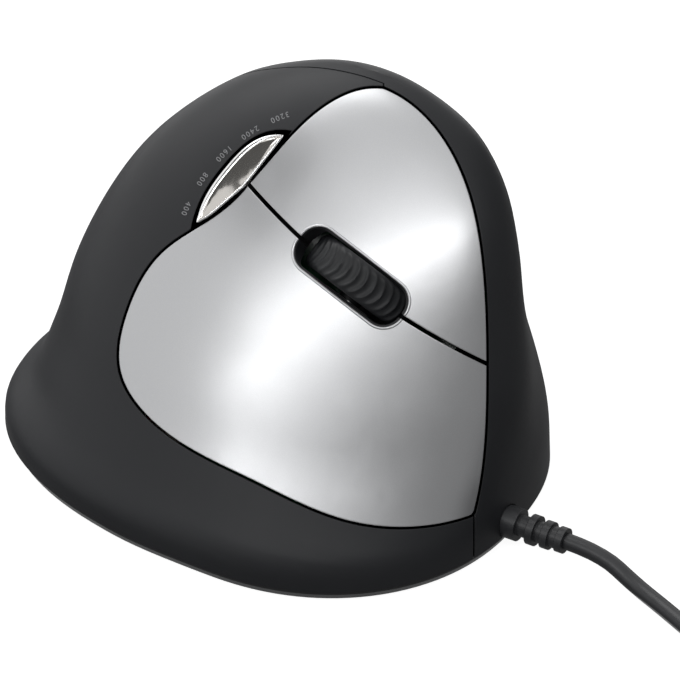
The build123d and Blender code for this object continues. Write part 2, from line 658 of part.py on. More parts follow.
def inner_frame():
    """The carrier: a plate under the board, its legs, pin brackets, guides and arms."""
    plate = deck_box(
        (-DECK_REAR, -DECK_LOW_SIDE, FRAME_BOTTOM), (DECK_FRONT, DECK_TOP_SIDE, BOARD_BOTTOM)
    )
    below = deck_box((-BODY_SPAN, -BODY_SPAN, -BODY_SPAN), (BODY_SPAN, BODY_SPAN, BOARD_BOTTOM))
    for place in (
        (-LEG_REAR, -LEG_LOW_SIDE), (-LEG_REAR, LEG_TOP_SIDE), (LEG_FRONT, LEG_TOP_SIDE),
        (LEG_LOW_FRONT, -LEG_LOW_SIDE),
    ):
        foot = DECK.from_local_coords(Vector(*place, FRAME_BOTTOM))
        leg = Pos(foot.X, foot.Y, (BASE_TOP + BODY_HEIGHT) / 2) * Box(
            *LEG_SIZE, BODY_HEIGHT - BASE_TOP
        )
        plate += leg & below
    for pin, rear, side, drop in (
        (UPPER_PIN, UPPER_HINGE_REAR, UPPER_HINGE_SIDE, UPPER_HINGE_DROP),
        (LOWER_PIN, LOWER_HINGE_REAR, LOWER_HINGE_SIDE, LOWER_HINGE_DROP),
    ):
        plate += deck_box(
            (-rear - HINGE_EYE_RADIUS, side - BRACKET_HALF, FRAME_BOTTOM),
            (-rear + HINGE_EYE_RADIUS, side + BRACKET_HALF, -drop),
        )
        plate += rod(pin, HINGE_EYE_RADIUS, -BRACKET_HALF, BRACKET_HALF)
        plate -= rod(pin, HINGE_PIN_RADIUS, -HINGE_SPAN, HINGE_SPAN)
    for post in guide_posts(0):
        plate += post
    seat = DECK.to_local_coords(LENS.from_local_coords(Vector(0, 0, -LENS_SWITCH_DROP)))
    lens_below = block(
        LENS, (BODY_SPAN, BODY_SPAN, BODY_SPAN), (0, 0, -LENS_SWITCH_DROP - BODY_SPAN / 2)
    )
    wide = LENS_SWITCH_SIZE[0] / 2
    arm = deck_box(
        (seat.X - wide, seat.Y - wide, FRAME_BOTTOM), (seat.X + wide, seat.Y + wide, 0)
    )
    plate += arm & lens_below
    plate += deck_box(
        (seat.X - wide, seat.Y - wide, FRAME_BOTTOM), (-DECK_REAR, seat.Y + wide, BOARD_BOTTOM)
    )
    return plate


def side_arm():
    """The arm of the inner frame that carries the side board."""
    back = -SIDE_BOARD_DROP - BOARD_THICKNESS
    low = SIDE_BOARD_PLACE[1] - SIDE_BOARD_SIZE[1] / 2
    high = SIDE_BOARD_PLACE[1] + SIDE_BOARD_SIZE[1] / 2
    tray = box_between(
        (-SIDE_ARM_REAR, low, back - SIDE_TRAY_THICKNESS), (SIDE_TRAY_FRONT, high, back)
    )
    arm = box_between(
        (-SIDE_ARM_REAR, low, back - SIDE_TRAY_THICKNESS),
        (-SIDE_ARM_REAR + SIDE_ARM_WIDTH, SIDE_ARM_TOP, -SIDE_ARM_DROP),
    )
    return SIDE.location * (tray + arm)


# Main board, its corners, the nose and the bosses, at desk places

MAIN_BOARD_BOTTOM = BASE_TOP + MAIN_BOARD_LIFT
MAIN_BOARD_TOP = MAIN_BOARD_BOTTOM + BOARD_THICKNESS
BOARD_CORNERS = [
    (x, y)
    for x in (MAIN_BOARD_X[0] + STANDOFF_INSET, MAIN_BOARD_X[1] - STANDOFF_INSET)
    for y in (MAIN_BOARD_Y[0] + STANDOFF_INSET, MAIN_BOARD_Y[1] - STANDOFF_INSET)
]
EXIT_X = EXIT_SHARE * HALF_WIDTH
NOSE = Plane(origin=(EXIT_X, HALF_LENGTH, EXIT_HEIGHT), x_dir=(-1, 0, 0), z_dir=(0, 1, 0))
PALM_BOSSES = [(x * HALF_WIDTH, y * HALF_LENGTH) for x, y in PALM_BOSS_SHARES]
THUMB_BOSSES = [(x * HALF_WIDTH, y * HALF_LENGTH) for x, y in THUMB_BOSS_SHARES]
HEAD_SEAT = FOOT_PROUD + BASE_SCREW_HEAD_HEIGHT
SCREW_TOP = HEAD_SEAT + BASE_SCREW_LENGTH
CABLE_RADIUS = CABLE_DIAMETER / 2


def upright(place, radius, low, high):
    """A round upright bar at a desk place, between two heights."""
    return Pos(*place, (low + high) / 2) * Cylinder(radius, high - low)


def with_bosses(shell, places):
    """A shell with its screw bosses, each with a rib out to the wall and its screw hole."""
    for place in places:
        bearing = math.degrees(math.atan2(place[1], place[0]))
        rib = box_between((0, -BOSS_RIB / 2, 0), (HALF_WIDTH, BOSS_RIB / 2, BOSS_HEIGHT))
        boss = upright(place, BOSS_RADIUS, BASE_TOP, BASE_TOP + BOSS_HEIGHT)
        boss += Pos(*place, BASE_TOP) * (Rot(0, 0, bearing) * rib)
        shell += boss & MIDDLE
        shell -= upright(place, BASE_SCREW_RADIUS, 0, SCREW_TOP + BASE_SCREW_TIP_GAP)
    return largest(shell)


def thumb_region(shift):
    """The space of the thumb shell: beyond the crest, and to the right of the panel."""
    apex = flat(PANEL_RIGHT_SHARES[0])
    nose = flat(NOSE_SEAM_SHARES)
    left, right = apex.X + shift, nose.X + shift
    inside = apex.Y - PANEL_CORNER_RADIUS * 2
    outline = Polyline(
        (left, BODY_SPAN), (left, inside), (right, nose.Y + inside / 2), (right, -BODY_SPAN),
        (BODY_SPAN, -BODY_SPAN), (BODY_SPAN, BODY_SPAN), close=True,
    )
    region = prism(FACE, Sketch() + make_face(outline.edges()), -BODY_SPAN, BODY_SPAN)
    crest = PARTING_SHARE * HALF_WIDTH - shift
    return region + box_between((-BODY_SPAN, -BODY_SPAN, -BODY_SPAN), (crest, BODY_SPAN, BODY_SPAN))


def side_key_outline(length, sign, gap):
    """One side key on the side plane: round at its free end, nearly square at the split."""
    near, far = SIDE_KEY_SPLIT / 2, length
    height = SIDE_KEY_HEIGHT
    shape = Pos(sign * (near + far) / 2, 0) * Rectangle(far - near, height)
    for x, radius in ((sign * near, SIDE_KEY_INNER_RADIUS), (sign * far, SIDE_KEY_END_RADIUS)):
        for y in (-height / 2, height / 2):
            shape = fillet(shape.vertices().sort_by_distance((x, y, 0))[0], radius)
    return offset(shape, amount=gap) if gap else shape


def side_keys_opening():
    """The opening in the thumb shell for both side keys."""
    rear = side_key_outline(SIDE_KEY_LENGTHS[0], -1, SIDE_KEY_GAP)
    front = side_key_outline(SIDE_KEY_LENGTHS[1], 1, SIDE_KEY_GAP)
    height = SIDE_KEY_HEIGHT + 2 * SIDE_KEY_GAP
    return rear + front + Rectangle(2 * SIDE_KEY_INNER_RADIUS + SIDE_KEY_SPLIT, height)


def housing():
    """The palm shell, the thumb shell and the two finger plates, cut from one wall."""
    plate = largest(WALL & face_prism(panel_outline(PANEL_GAP)))
    plate -= face_prism(slot_outline())
    upper = largest(plate & face_prism(seam_side(BUTTON_SEAM_GAP / 2, True)))
    lower = largest(plate & face_prism(seam_side(-BUTTON_SEAM_GAP / 2, False)))
    opening = face_prism(panel_outline(0) + lens_outline(-LENS_GAP))
    far_side = (PARTING_SHARE * HALF_WIDTH, BODY_SPAN, FAR_WALL_TOP_SHARE * BODY_HEIGHT)
    shell = WALL - (opening - box_between((-BODY_SPAN, -BODY_SPAN, -BODY_SPAN), far_side))
    thumb = largest(shell & thumb_region(SHELL_SEAM / 2))
    palm = largest(shell - thumb_region(-SHELL_SEAM / 2))
    thumb -= prism(SIDE, side_keys_opening(), -SIDE_PRISM_DEPTH, SIDE_PRISM_DEPTH)
    thumb -= rod(NOSE, RELIEF_ROOT_RADIUS + RELIEF_WALL_GAP, -SIDE_PRISM_DEPTH, OVERRUN)
    return upper, lower, with_bosses(palm, PALM_BOSSES), with_bosses(thumb, THUMB_BOSSES)


def lens_key():
    """The chrome key: a lens that stands a little proud of the skin, with its post."""
    proud = skin_solid(-LENS_PROUD) - INNER
    key = largest(proud & face_prism(lens_outline(0)))
    half = LENS_POST_SIZE / 2
    low = -LENS_SWITCH_DROP + LENS_SWITCH_HEIGHT + LENS_PLUNGER_HEIGHT + SWITCH_REST_GAP
    post = LENS.location * box_between((-half, -half, low), (half, half, 0))
    return largest(key + (post & MIDDLE))


def side_keys():
    """The rear and the front side key, each with its post down to a switch plunger."""
    proud = skin_solid(-SIDE_KEY_PROUD) - skin_solid(SIDE_KEY_WALL - SIDE_KEY_PROUD)
    keys = []
    half = SIDE_POST_SIZE / 2
    for length, sign, share in zip(SIDE_KEY_LENGTHS, (-1, 1), SIDE_SWITCH_SHARES):
        outline = side_key_outline(length, sign, 0)
        key = largest(proud & prism(SIDE, outline, -SIDE_PRISM_DEPTH, SIDE_PRISM_DEPTH))
        middle = sign * length * share
        low = SIDE_SWITCH_TOP + SIDE_PLUNGER_HEIGHT + SWITCH_REST_GAP
        side = SIDE_SWITCH_SIDE
        post = box_between((middle - half, side - half, low), (middle + half, side + half, 0))
        keys.append(largest(key + (SIDE.location * post & MIDDLE)))
    return keys


SIDE_SWITCH_TOP = -SIDE_BOARD_DROP + SIDE_SWITCH_HEIGHT
SIDE_SWITCH_PLACES = [
    (sign * length * share, SIDE_SWITCH_SIDE)
    for length, sign, share in zip(SIDE_KEY_LENGTHS, (-1, 1), SIDE_SWITCH_SHARES)
]
LENS_SWITCH_TOP = -LENS_SWITCH_DROP + LENS_SWITCH_HEIGHT
UPPER_SWITCH = (BUTTON_SWITCH_FRONT, UPPER_SWITCH_SIDE)
LOWER_SWITCH = (BUTTON_SWITCH_FRONT, LOWER_SWITCH_SIDE)


def base_ring(inset, height):
    """The lowest outline of the body, drawn in by an inset, at a height."""
    ring = [skin_point(k / SECTION_POINTS, 0.0) for k in range(SECTION_POINTS)]
    ring = inset_ring([Vector(p.X, p.Y, 0) for p in ring], inset)
    spacing = [k / SECTION_POINTS for k in range(SECTION_POINTS + 1)]
    lifted = [Vector(p.X, p.Y, height) for p in ring]
    return Wire([Edge.make_spline(lifted, periodic=True, parameters=spacing)])


def foot_places():
    """Where the glide feet sit: desk place and turn."""
    for (x, y), turn in zip(FOOT_PLACES_SHARES, FOOT_TURNS):
        yield Pos(x * HALF_WIDTH, y * HALF_LENGTH) * Rot(0, 0, turn)


def foot_pad():
    """A glide foot, with its rounded ends, from the desk up into its recess."""
    return extrude(SlotOverall(*FOOT_SIZE), amount=FOOT_PROUD + FOOT_RECESS)


def base_plate():
    """The floor of the housing, with its sensor opening, standoffs and screw holes."""
    plate = Solid.make_loft(
        [base_ring(BASE_FOOT_INSET, FOOT_PROUD), base_ring(BASE_EDGE_INSET, BASE_TOP)], ruled=True
    )
    plate = Part() + plate
    for place in BOARD_CORNERS:
        plate += upright(place, STANDOFF_RADIUS, BASE_TOP, MAIN_BOARD_BOTTOM)
        plate -= upright(
            place, BOARD_SCREW_RADIUS, MAIN_BOARD_BOTTOM - BOARD_SCREW_DEPTH, MAIN_BOARD_BOTTOM
        )
    for place in PALM_BOSSES + THUMB_BOSSES:
        plate -= upright(place, BASE_SCREW_RADIUS + BASE_SCREW_GAP, 0, BODY_HEIGHT)
        plate -= upright(place, BASE_SCREW_HEAD_RADIUS + BASE_SCREW_GAP, 0, HEAD_SEAT)
    block_x, block_y = LENS_BLOCK
    opening = Box(block_x + 2 * OPENING_GAP, block_y + 2 * OPENING_GAP, BODY_HEIGHT)
    plate -= Pos(*SENSOR_PLACE) * opening
    for spot in foot_places():
        plate -= spot * foot_pad()
    notch = SHELL_WALL + RELIEF_NOSE_SLACK + RELIEF_FLANGE_LENGTH
    plate -= rod(NOSE, RELIEF_ROOT_RADIUS + RELIEF_WALL_GAP, -notch, OVERRUN)
    return plate


def sensor_parts():
    """The sensor chip, the clear lens in the base opening and the tracking lamp."""
    x, y = SENSOR_PLACE
    chip_bottom = MAIN_BOARD_BOTTOM - SENSOR_SIZE[2]
    chip = Pos(x, y, chip_bottom + SENSOR_SIZE[2] / 2) * Box(*SENSOR_SIZE)
    low = BASE_TOP - LENS_DEPTH
    clear = Pos(x, y, (low + chip_bottom) / 2) * Box(*LENS_BLOCK, chip_bottom - low)
    clear += Pos(x, y, BASE_TOP + LENS_FLANGE_HEIGHT / 2) * Box(*LENS_FLANGE, LENS_FLANGE_HEIGHT)
    lamp = Pos(x, y + LAMP_OFFSET, MAIN_BOARD_BOTTOM - LAMP_SIZE[2] / 2) * Box(*LAMP_SIZE)
    return chip, clear, lamp


def main_board():
    """The main board, with its four screw holes."""
    board = box_between(
        (MAIN_BOARD_X[0], MAIN_BOARD_Y[0], MAIN_BOARD_BOTTOM),
        (MAIN_BOARD_X[1], MAIN_BOARD_Y[1], MAIN_BOARD_TOP),
    )
    for place in BOARD_CORNERS:
        board -= upright(place, BOARD_SCREW_RADIUS + BOARD_SCREW_GAP, 0, BODY_HEIGHT)
    return board


def screws(places, radius, low, high, head_radius, head_low, head_high):
    """A group of round-headed screws, one at each place."""
    return Compound(
        [
            largest(upright(p, radius, low, high) + upright(p, head_radius, head_low, head_high))
            for p in places
        ]
    )


def strain_relief():
    """The ribbed grommet at the nose, with its flange inside the wall."""
    step = RELIEF_LENGTH / RELIEF_RING_COUNT
    root = -SHELL_WALL - RELIEF_NOSE_SLACK
    relief = rod(NOSE, RELIEF_ROOT_RADIUS, root, step - RELIEF_RING_WIDTH / 2)
    core = RELIEF_ROOT_RADIUS - RELIEF_GROOVE_DEPTH
    relief += rod(NOSE, core, 0, RELIEF_LENGTH)
    for k in range(1, RELIEF_RING_COUNT):
        share = k / (RELIEF_RING_COUNT - 1)
        radius = RELIEF_ROOT_RADIUS + (RELIEF_END_RADIUS - RELIEF_ROOT_RADIUS) * share
        end = (k + 1) * step
        relief += rod(NOSE, radius, end - RELIEF_RING_WIDTH, end)
    flange = rod(NOSE, RELIEF_FLANGE_RADIUS, root - RELIEF_FLANGE_LENGTH, root)
    floor = (BODY_SPAN, BODY_SPAN, BASE_TOP + RELIEF_WALL_GAP)
    relief += flange - box_between((-BODY_SPAN, 0, -BODY_SPAN), floor)
    return relief


def rounded_path(points, name):
    """A path of straight runs joined by tangent arcs, each as large as its runs allow."""
    radii = []
    for before, corner, after in zip(points, points[1:], points[2:]):
        run_in, run_out = corner - before, after - corner
        half_turn = math.radians(run_in.get_angle(run_out)) / 2
        radii.append(CORNER_SHARE * min(run_in.length, run_out.length) / math.tan(half_turn))
    print(name, "radii", [round(radius, 1) for radius in radii])
    return FilletPolyline(*points, radius=radii)


def tube(points, radius, name):
    """A round tube along a path of straight runs and tangent arcs."""
    path = rounded_path(points, name)
    section = Plane(origin=path @ 0, z_dir=path % 0) * Circle(radius)
    solid = sweep(section, path=path)
    expected = math.pi * radius**2 * path.length
    print(name, "length", round(path.length, 1), "volume share", round(solid.volume / expected, 4))
    return solid


def leads():
    """The wires that run from the deck connector down to the main connector."""
    wires = []
    for k in range(LEAD_COUNT):
        shift = (k - (LEAD_COUNT - 1) / 2) * LEAD_PITCH
        x, y = DECK_CONNECTOR_PLACE
        start = Vector(x + shift, y - CONNECTOR_SIZE[1] / 2, BOARD_TOP + CONNECTOR_SIZE[2] / 2)
        start = DECK.from_local_coords(start)
        x, y = MAIN_CONNECTOR_PLACE
        end = Vector(x, y + shift, MAIN_BOARD_TOP + CONNECTOR_SIZE[2])
        path = FilletPolyline(
            start, start - DECK.y_dir * LEAD_DIP, end + Vector(0, 0, LEAD_RISE), end,
            radius=LEAD_BEND_RADIUS,
        )
        wires.append(sweep(Plane(origin=start, z_dir=path % 0) * Circle(LEAD_RADIUS), path=path))
    return Compound([largest(wire) for wire in wires])


def connectors():
    """The connector on the button board and its partner on the main board."""
    length, width, height = CONNECTOR_SIZE
    deck = block(DECK, (length, width, height), (*DECK_CONNECTOR_PLACE, BOARD_TOP + height / 2))
    main = Pos(*MAIN_CONNECTOR_PLACE, MAIN_BOARD_TOP + height / 2) * Box(width, length, height)
    return deck, main


def cable_inside():
    """The cable inside the housing, from the grommet to its header on the main board."""
    width, depth, height = HEADER_SIZE
    x, y = HEADER_PLACE
    header = Pos(x, y, MAIN_BOARD_TOP + height / 2) * Box(width, depth, height)
    level = MAIN_BOARD_TOP + height / 2
    back = HALF_LENGTH - SHELL_WALL - RELIEF_NOSE_SLACK - RELIEF_FLANGE_LENGTH
    points = [
        Vector(EXIT_X, back, EXIT_HEIGHT),
        Vector(EXIT_X, back - INNER_CABLE_STRAIGHT, EXIT_HEIGHT),
        Vector(x, y + depth / 2 + INNER_CABLE_STRAIGHT, level),
        Vector(x, y + depth / 2, level),
    ]
    return tube(points, CABLE_RADIUS, "inner cable"), header


# The cable: free stretch, coil, tail and plug

COIL_CENTRE = Vector(*COIL_PLACE, 0)
COIL_OUTER = COIL_MIDDLE_RADIUS + COIL_TURNS * COIL_PITCH / 2
COIL_INNER = COIL_MIDDLE_RADIUS - COIL_TURNS * COIL_PITCH / 2
COIL_BULGE = COIL_PITCH * CLIMB_TURNS / 4
COIL_BOTTOM = TIE_THICKNESS + TIE_GAP + CABLE_RADIUS
COIL_TOTAL = COIL_LAYERS * COIL_TURNS + (COIL_LAYERS - 1) * CLIMB_TURNS


def coil_point(turns):
    """The coil's middle line after some turns: it winds in and out, a layer higher each time."""
    stage = COIL_TURNS + CLIMB_TURNS
    layer = min(int(turns / stage), COIL_LAYERS - 1)
    wound = min(turns - layer * stage, COIL_TURNS)
    climb = max(turns - layer * stage - COIL_TURNS, 0) / CLIMB_TURNS
    bulge = 4 * COIL_BULGE * climb * (1 - climb)
    if layer % 2 == 0:
        radius = COIL_OUTER - COIL_PITCH * wound - bulge
    else:
        radius = COIL_INNER + COIL_PITCH * wound + bulge
    height = COIL_BOTTOM + COIL_LAYER_RISE * (layer + climb**2 * (3 - 2 * climb))
    bearing = math.radians(COIL_START_BEARING + 360 * turns)
    return COIL_CENTRE + Vector(radius * math.cos(bearing), radius * math.sin(bearing), height)


def coil_way(turns):
    """The direction of the coil's middle line after some turns."""
    step = 1e-4
    low, high = max(turns - step, 0), min(turns + step, COIL_TOTAL)
    return (coil_point(high) - coil_point(low)).normalized()


def coil_stations():
    """The turns at which the coil's arcs meet, about a quarter turn apart."""
    stations = [0.0]
    for layer in range(COIL_LAYERS):
        for turns in (COIL_TURNS, CLIMB_TURNS)[: 1 if layer == COIL_LAYERS - 1 else 2]:
            count = round(turns * 4)
            stations += [stations[-1] + turns * (k + 1) / count for k in range(count)]
    return stations


def biarc(start, start_way, end, end_way):
    """Two arcs that join two points in the directions given there."""
    across, ways = end - start, start_way + end_way
    a, b = ways.dot(ways) - 4, -2 * across.dot(ways)
    reach = (-b - math.sqrt(b * b - 4 * a * across.dot(across))) / (2 * a)
    first, second = start + start_way * reach, end - end_way * reach
    middle = (first + second) / 2
    return [
        Edge.make_tangent_arc(start, start_way, middle),
        Edge.make_tangent_arc(middle, (second - first).normalized(), end),
    ]


def cable_coil():
    """The wound part of the cable, one tube on arcs, with a short straight run at each end."""
    stations = coil_stations()
    points = [coil_point(turns) for turns in stations]
    ways = [coil_way(turns) for turns in stations]
    arcs = []
    for k in range(len(points) - 1):
        arcs += biarc(points[k], ways[k], points[k + 1], ways[k + 1])
    start = points[0] - ways[0] * CABLE_DIAMETER
    end = points[-1] + ways[-1] * CABLE_DIAMETER
    path = Wire([Edge.make_line(start, points[0]), *arcs, Edge.make_line(points[-1], end)])
    solid = sweep(Plane(origin=start, z_dir=ways[0]) * Circle(CABLE_RADIUS), path=path)
    line = [tuple(arc @ (k / COIL_CHECK_STEPS)) for arc in arcs for k in range(COIL_CHECK_STEPS)]
    apart = COIL_CHECK_STEPS * 4
    least = min(
        math.dist(line[i], line[j]) for i in range(len(line)) for j in range(i + apart, len(line))
    )
    share = solid.volume / (math.pi * CABLE_RADIUS**2 * path.length)
    print("coil length", round(path.length, 1), "volume share", round(share, 4))
    print("coil least gap", round(least - CABLE_DIAMETER, 2))
    return solid, start, ways[0], end, ways[-1]


def coil_side(bearing, radius, height):
    """A place beside the coil."""
    angle = math.radians(bearing)
    return COIL_CENTRE + Vector(radius * math.cos(angle), radius * math.sin(angle), height)


def cable_tie():
    """The strap that goes once round the bundle of turns."""
    half, thick = TIE_WIDTH / 2, TIE_THICKNESS
    hole = COIL_INNER - COIL_BULGE - CABLE_RADIUS
    near = math.sqrt(hole**2 - half**2) - TIE_GAP
    far = COIL_OUTER + COIL_BULGE + CABLE_RADIUS + TIE_GAP
    top = COIL_BOTTOM + (COIL_LAYERS - 1) * COIL_LAYER_RISE + CABLE_RADIUS + TIE_GAP
    strap = box_between((near - thick, -half, 0), (far + thick, half, top + thick))
    strap -= box_between((near, -TIE_WIDTH, thick), (far, TIE_WIDTH, top))
    return Pos(*COIL_PLACE) * (Rot(0, 0, TIE_BEARING) * strap)


def usb_plug(end):
    """The plug's moulded housing, its metal shell and the insulating tongue inside."""
    plug = Plane(origin=end, x_dir=(1, 0, 0), z_dir=(0, -1, 0))
    length, width, height = PLUG_HOUSING_SIZE
    housing = Pos(0, 0, PLUG_BOOT_LENGTH / 2) * Cone(
        PLUG_BOOT_RADII[0], PLUG_BOOT_RADII[1], PLUG_BOOT_LENGTH
    )
    moulding = extrude(RectangleRounded(width, height, PLUG_CORNER_RADIUS), amount=length)
    housing += Pos(0, 0, PLUG_BOOT_LENGTH) * moulding
    reach, width, height = PLUG_SHELL_SIZE
    seat = PLUG_BOOT_LENGTH + length - PLUG_SHELL_SEAT
    long = PLUG_SHELL_SEAT + reach
    outside = Pos(0, 0, seat) * extrude(Rectangle(width, height), amount=long)
    inner_width, inner_height = width - 2 * PLUG_SHELL_WALL, height - 2 * PLUG_SHELL_WALL
    inside = Pos(0, 0, seat) * extrude(Rectangle(inner_width, inner_height), amount=long)
    root = Pos(0, 0, seat) * extrude(Rectangle(inner_width, inner_height), amount=PLUG_SHELL_SEAT)
    tongue = box_between(
        (PLUG_TONGUE_SIDE_GAP - inner_width / 2, -inner_height / 2, seat),
        (inner_width / 2 - PLUG_TONGUE_SIDE_GAP, PLUG_TONGUE_HEIGHT - inner_height / 2,
         seat + long - PLUG_TONGUE_SETBACK),
    )
    return {
        "usb_housing": plug.location * (housing - outside),
        "usb_shell": plug.location * (outside - inside),
        "usb_insert": plug.location * (root + tongue),
    }


def cord():
    """The cable outside the housing, from the grommet to the plug."""
    coil, coil_start, start_way, coil_end, end_way = cable_coil()
    out = Vector(EXIT_X, HALF_LENGTH + RELIEF_LENGTH, EXIT_HEIGHT)
    free = [
        out, out + Vector(0, CABLE_STRAIGHT, 0), *[Vector(*point) for point in CABLE_ROUTE],
        coil_start - start_way * COIL_APPROACH, coil_start,
    ]
    tail = [
        coil_end, coil_end + end_way * TAIL_STRAIGHT, *[coil_side(*place) for place in TAIL_PLACES]
    ]
    end = tail[-1] - Vector(0, TAIL_STRAIGHT, 0)
    pieces = {
        "cable": tube(free, CABLE_RADIUS, "cable"),
        "cable_coil": coil,
        "cable_tail": tube([*tail, end], CABLE_RADIUS, "cable tail"),
        "cable_tie": cable_tie(),
    }
    pieces.update(usb_plug(end))
    return pieces


def switches():
    """Every switch case with its plunger, for the buttons, the wheel and the small keys."""
    kinds = {
        "upper": (DECK, UPPER_SWITCH, BUTTON_SWITCH_SIZE, BUTTON_SWITCH_TOP,
                  BUTTON_SWITCH_HEIGHT, BUTTON_PLUNGER_HEIGHT, BUTTON_TRAVEL),
        "lower": (DECK, LOWER_SWITCH, BUTTON_SWITCH_SIZE, BUTTON_SWITCH_TOP,
                  BUTTON_SWITCH_HEIGHT, BUTTON_PLUNGER_HEIGHT, BUTTON_TRAVEL),
        "wheel": (DECK, (0, 0), WHEEL_SWITCH_SIZE, WHEEL_SWITCH_TOP,
                  WHEEL_SWITCH_HEIGHT, WHEEL_PLUNGER_HEIGHT, CLICK_TRAVEL),
        "dpi": (LENS, (0, 0), LENS_SWITCH_SIZE, LENS_SWITCH_TOP,
                LENS_SWITCH_HEIGHT, LENS_PLUNGER_HEIGHT, LENS_TRAVEL),
        "rear_side": (SIDE, SIDE_SWITCH_PLACES[0], SIDE_SWITCH_SIZE, SIDE_SWITCH_TOP,
                      SIDE_SWITCH_HEIGHT, SIDE_PLUNGER_HEIGHT, SIDE_TRAVEL),
        "front_side": (SIDE, SIDE_SWITCH_PLACES[1], SIDE_SWITCH_SIZE, SIDE_SWITCH_TOP,
                       SIDE_SWITCH_HEIGHT, SIDE_PLUNGER_HEIGHT, SIDE_TRAVEL),
    }
    pieces = {}
    for name, (plane, place, size, top, height, plunger_height, travel) in kinds.items():
        pocket = pocket_depth(travel)
        pieces[name + "_switch"] = switch_case(plane, place, size, top, height, pocket)
        pieces[name + "_plunger"] = plunger(plane, place, top, plunger_height)
    return pieces


def button_board():
    """The board on the frame plate, with holes for the cradle's guide posts."""
    board = deck_box(
        (-BOARD_REAR, -DECK_LOW_SIDE, BOARD_BOTTOM), (DECK_FRONT, DECK_TOP_SIDE, BOARD_TOP)
    )
    for post in guide_posts(GUIDE_GAP):
        board -= post
    return board


def side_board():
    """The small board under the side keys."""
    middle = (*SIDE_BOARD_PLACE, -SIDE_BOARD_DROP - BOARD_THICKNESS / 2)
    return block(SIDE, (*SIDE_BOARD_SIZE, BOARD_THICKNESS), middle)


upper_plate, lower_plate, palm_shell, thumb_shell = housing()
rear_key, front_key = side_keys()
sensor, clear_lens, lamp = sensor_parts()
deck_connector, main_connector = connectors()
inner_cable, cable_header = cable_inside()

nodes = {
    "palm_shell": palm_shell,
    "thumb_shell": thumb_shell,
    "upper_button": finger_button(
        upper_plate, UPPER_PIN, UPPER_HINGE_REAR, UPPER_HINGE_SIDE, UPPER_HINGE_DROP,
        UPPER_SWITCH_SIDE,
    ),
    "lower_button": finger_button(
        lower_plate, LOWER_PIN, LOWER_HINGE_REAR, LOWER_HINGE_SIDE, LOWER_HINGE_DROP,
        LOWER_SWITCH_SIDE,
    ),
    "upper_hinge_pin": rod(UPPER_PIN, HINGE_PIN_RADIUS, -HINGE_SPAN / 2, HINGE_SPAN / 2),
    "lower_hinge_pin": rod(LOWER_PIN, HINGE_PIN_RADIUS, -HINGE_SPAN / 2, HINGE_SPAN / 2),
    **wheel_parts(),
    "dpi_button": lens_key(),
    "rear_side_button": rear_key,
    "front_side_button": front_key,
    "inner_frame": inner_frame() + side_arm(),
    "button_board": button_board(),
    "side_board": side_board(),
    **switches(),
    "base_plate": base_plate(),
    "glide_feet": Compound([spot * foot_pad() for spot in foot_places()]),
    "base_screws": screws(
        PALM_BOSSES + THUMB_BOSSES, BASE_SCREW_RADIUS, HEAD_SEAT, SCREW_TOP,
        BASE_SCREW_HEAD_RADIUS, FOOT_PROUD, HEAD_SEAT,
    ),
    "main_board": main_board(),
    "board_screws": screws(
        BOARD_CORNERS, BOARD_SCREW_RADIUS, MAIN_BOARD_BOTTOM - BOARD_SCREW_DEPTH, MAIN_BOARD_TOP,
        BOARD_SCREW_HEAD_RADIUS, MAIN_BOARD_TOP, MAIN_BOARD_TOP + BOARD_SCREW_HEAD_HEIGHT,
    ),
    "optical_sensor": sensor,
    "sensor_lens": clear_lens,
    "tracking_lamp": lamp,
    "deck_connector": deck_connector,
    "main_connector": main_connector,
    "board_leads": leads(),
    "inner_cable": inner_cable,
    "cable_header": cable_header,
    "strain_relief": strain_relief(),
    **cord(),
}

os.makedirs("parts", exist_ok=True)
for name, shape in nodes.items():
    export_step(shape, f"parts/{name}.step")
    print(name, len(shape.solids()), "solids", round(shape.volume, 1), "mm3")
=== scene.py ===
"""A vertical ergonomic mouse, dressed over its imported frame.

The wheel's axle and its click are read from the frame's joints, and the skins that new pieces
lie on are found in the covers of the CAD nodes. Sizes are in millimetres until they are placed.
"""

import json
import logging
import math
from dataclasses import dataclass
from enum import Enum

import bmesh
import bpy
from mathutils import Matrix, Vector, geometry
from mathutils.bvhtree import BVHTree


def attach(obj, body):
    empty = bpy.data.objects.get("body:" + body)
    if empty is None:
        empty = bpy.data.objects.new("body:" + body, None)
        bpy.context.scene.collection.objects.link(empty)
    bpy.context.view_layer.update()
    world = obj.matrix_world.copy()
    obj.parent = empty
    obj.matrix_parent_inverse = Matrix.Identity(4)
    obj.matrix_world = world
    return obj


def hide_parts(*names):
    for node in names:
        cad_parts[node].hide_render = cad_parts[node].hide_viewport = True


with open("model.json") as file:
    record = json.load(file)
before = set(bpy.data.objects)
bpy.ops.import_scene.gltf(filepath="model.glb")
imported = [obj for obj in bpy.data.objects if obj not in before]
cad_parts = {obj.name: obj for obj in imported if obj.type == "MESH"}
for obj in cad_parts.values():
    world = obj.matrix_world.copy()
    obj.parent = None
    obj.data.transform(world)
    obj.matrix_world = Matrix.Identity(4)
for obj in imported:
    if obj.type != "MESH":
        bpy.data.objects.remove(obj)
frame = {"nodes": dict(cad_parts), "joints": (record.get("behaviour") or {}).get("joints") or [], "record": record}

log = logging.getLogger("vertical_mouse")
MM = 0.001
CREASE = 38.0
MERGE_REACH = 0.002


class Carrier(str, Enum):
    """The bodies of the frame that new pieces ride on."""

    HOUSING = "housing"
    UPPER_FINGER = "upper_finger"
    LOWER_FINGER = "lower_finger"
    WHEEL = "scroll_wheel"
    RESOLUTION_KEY = "dpi_key"
    REAR_KEY = "rear_side_key"
    FRONT_KEY = "front_side_key"


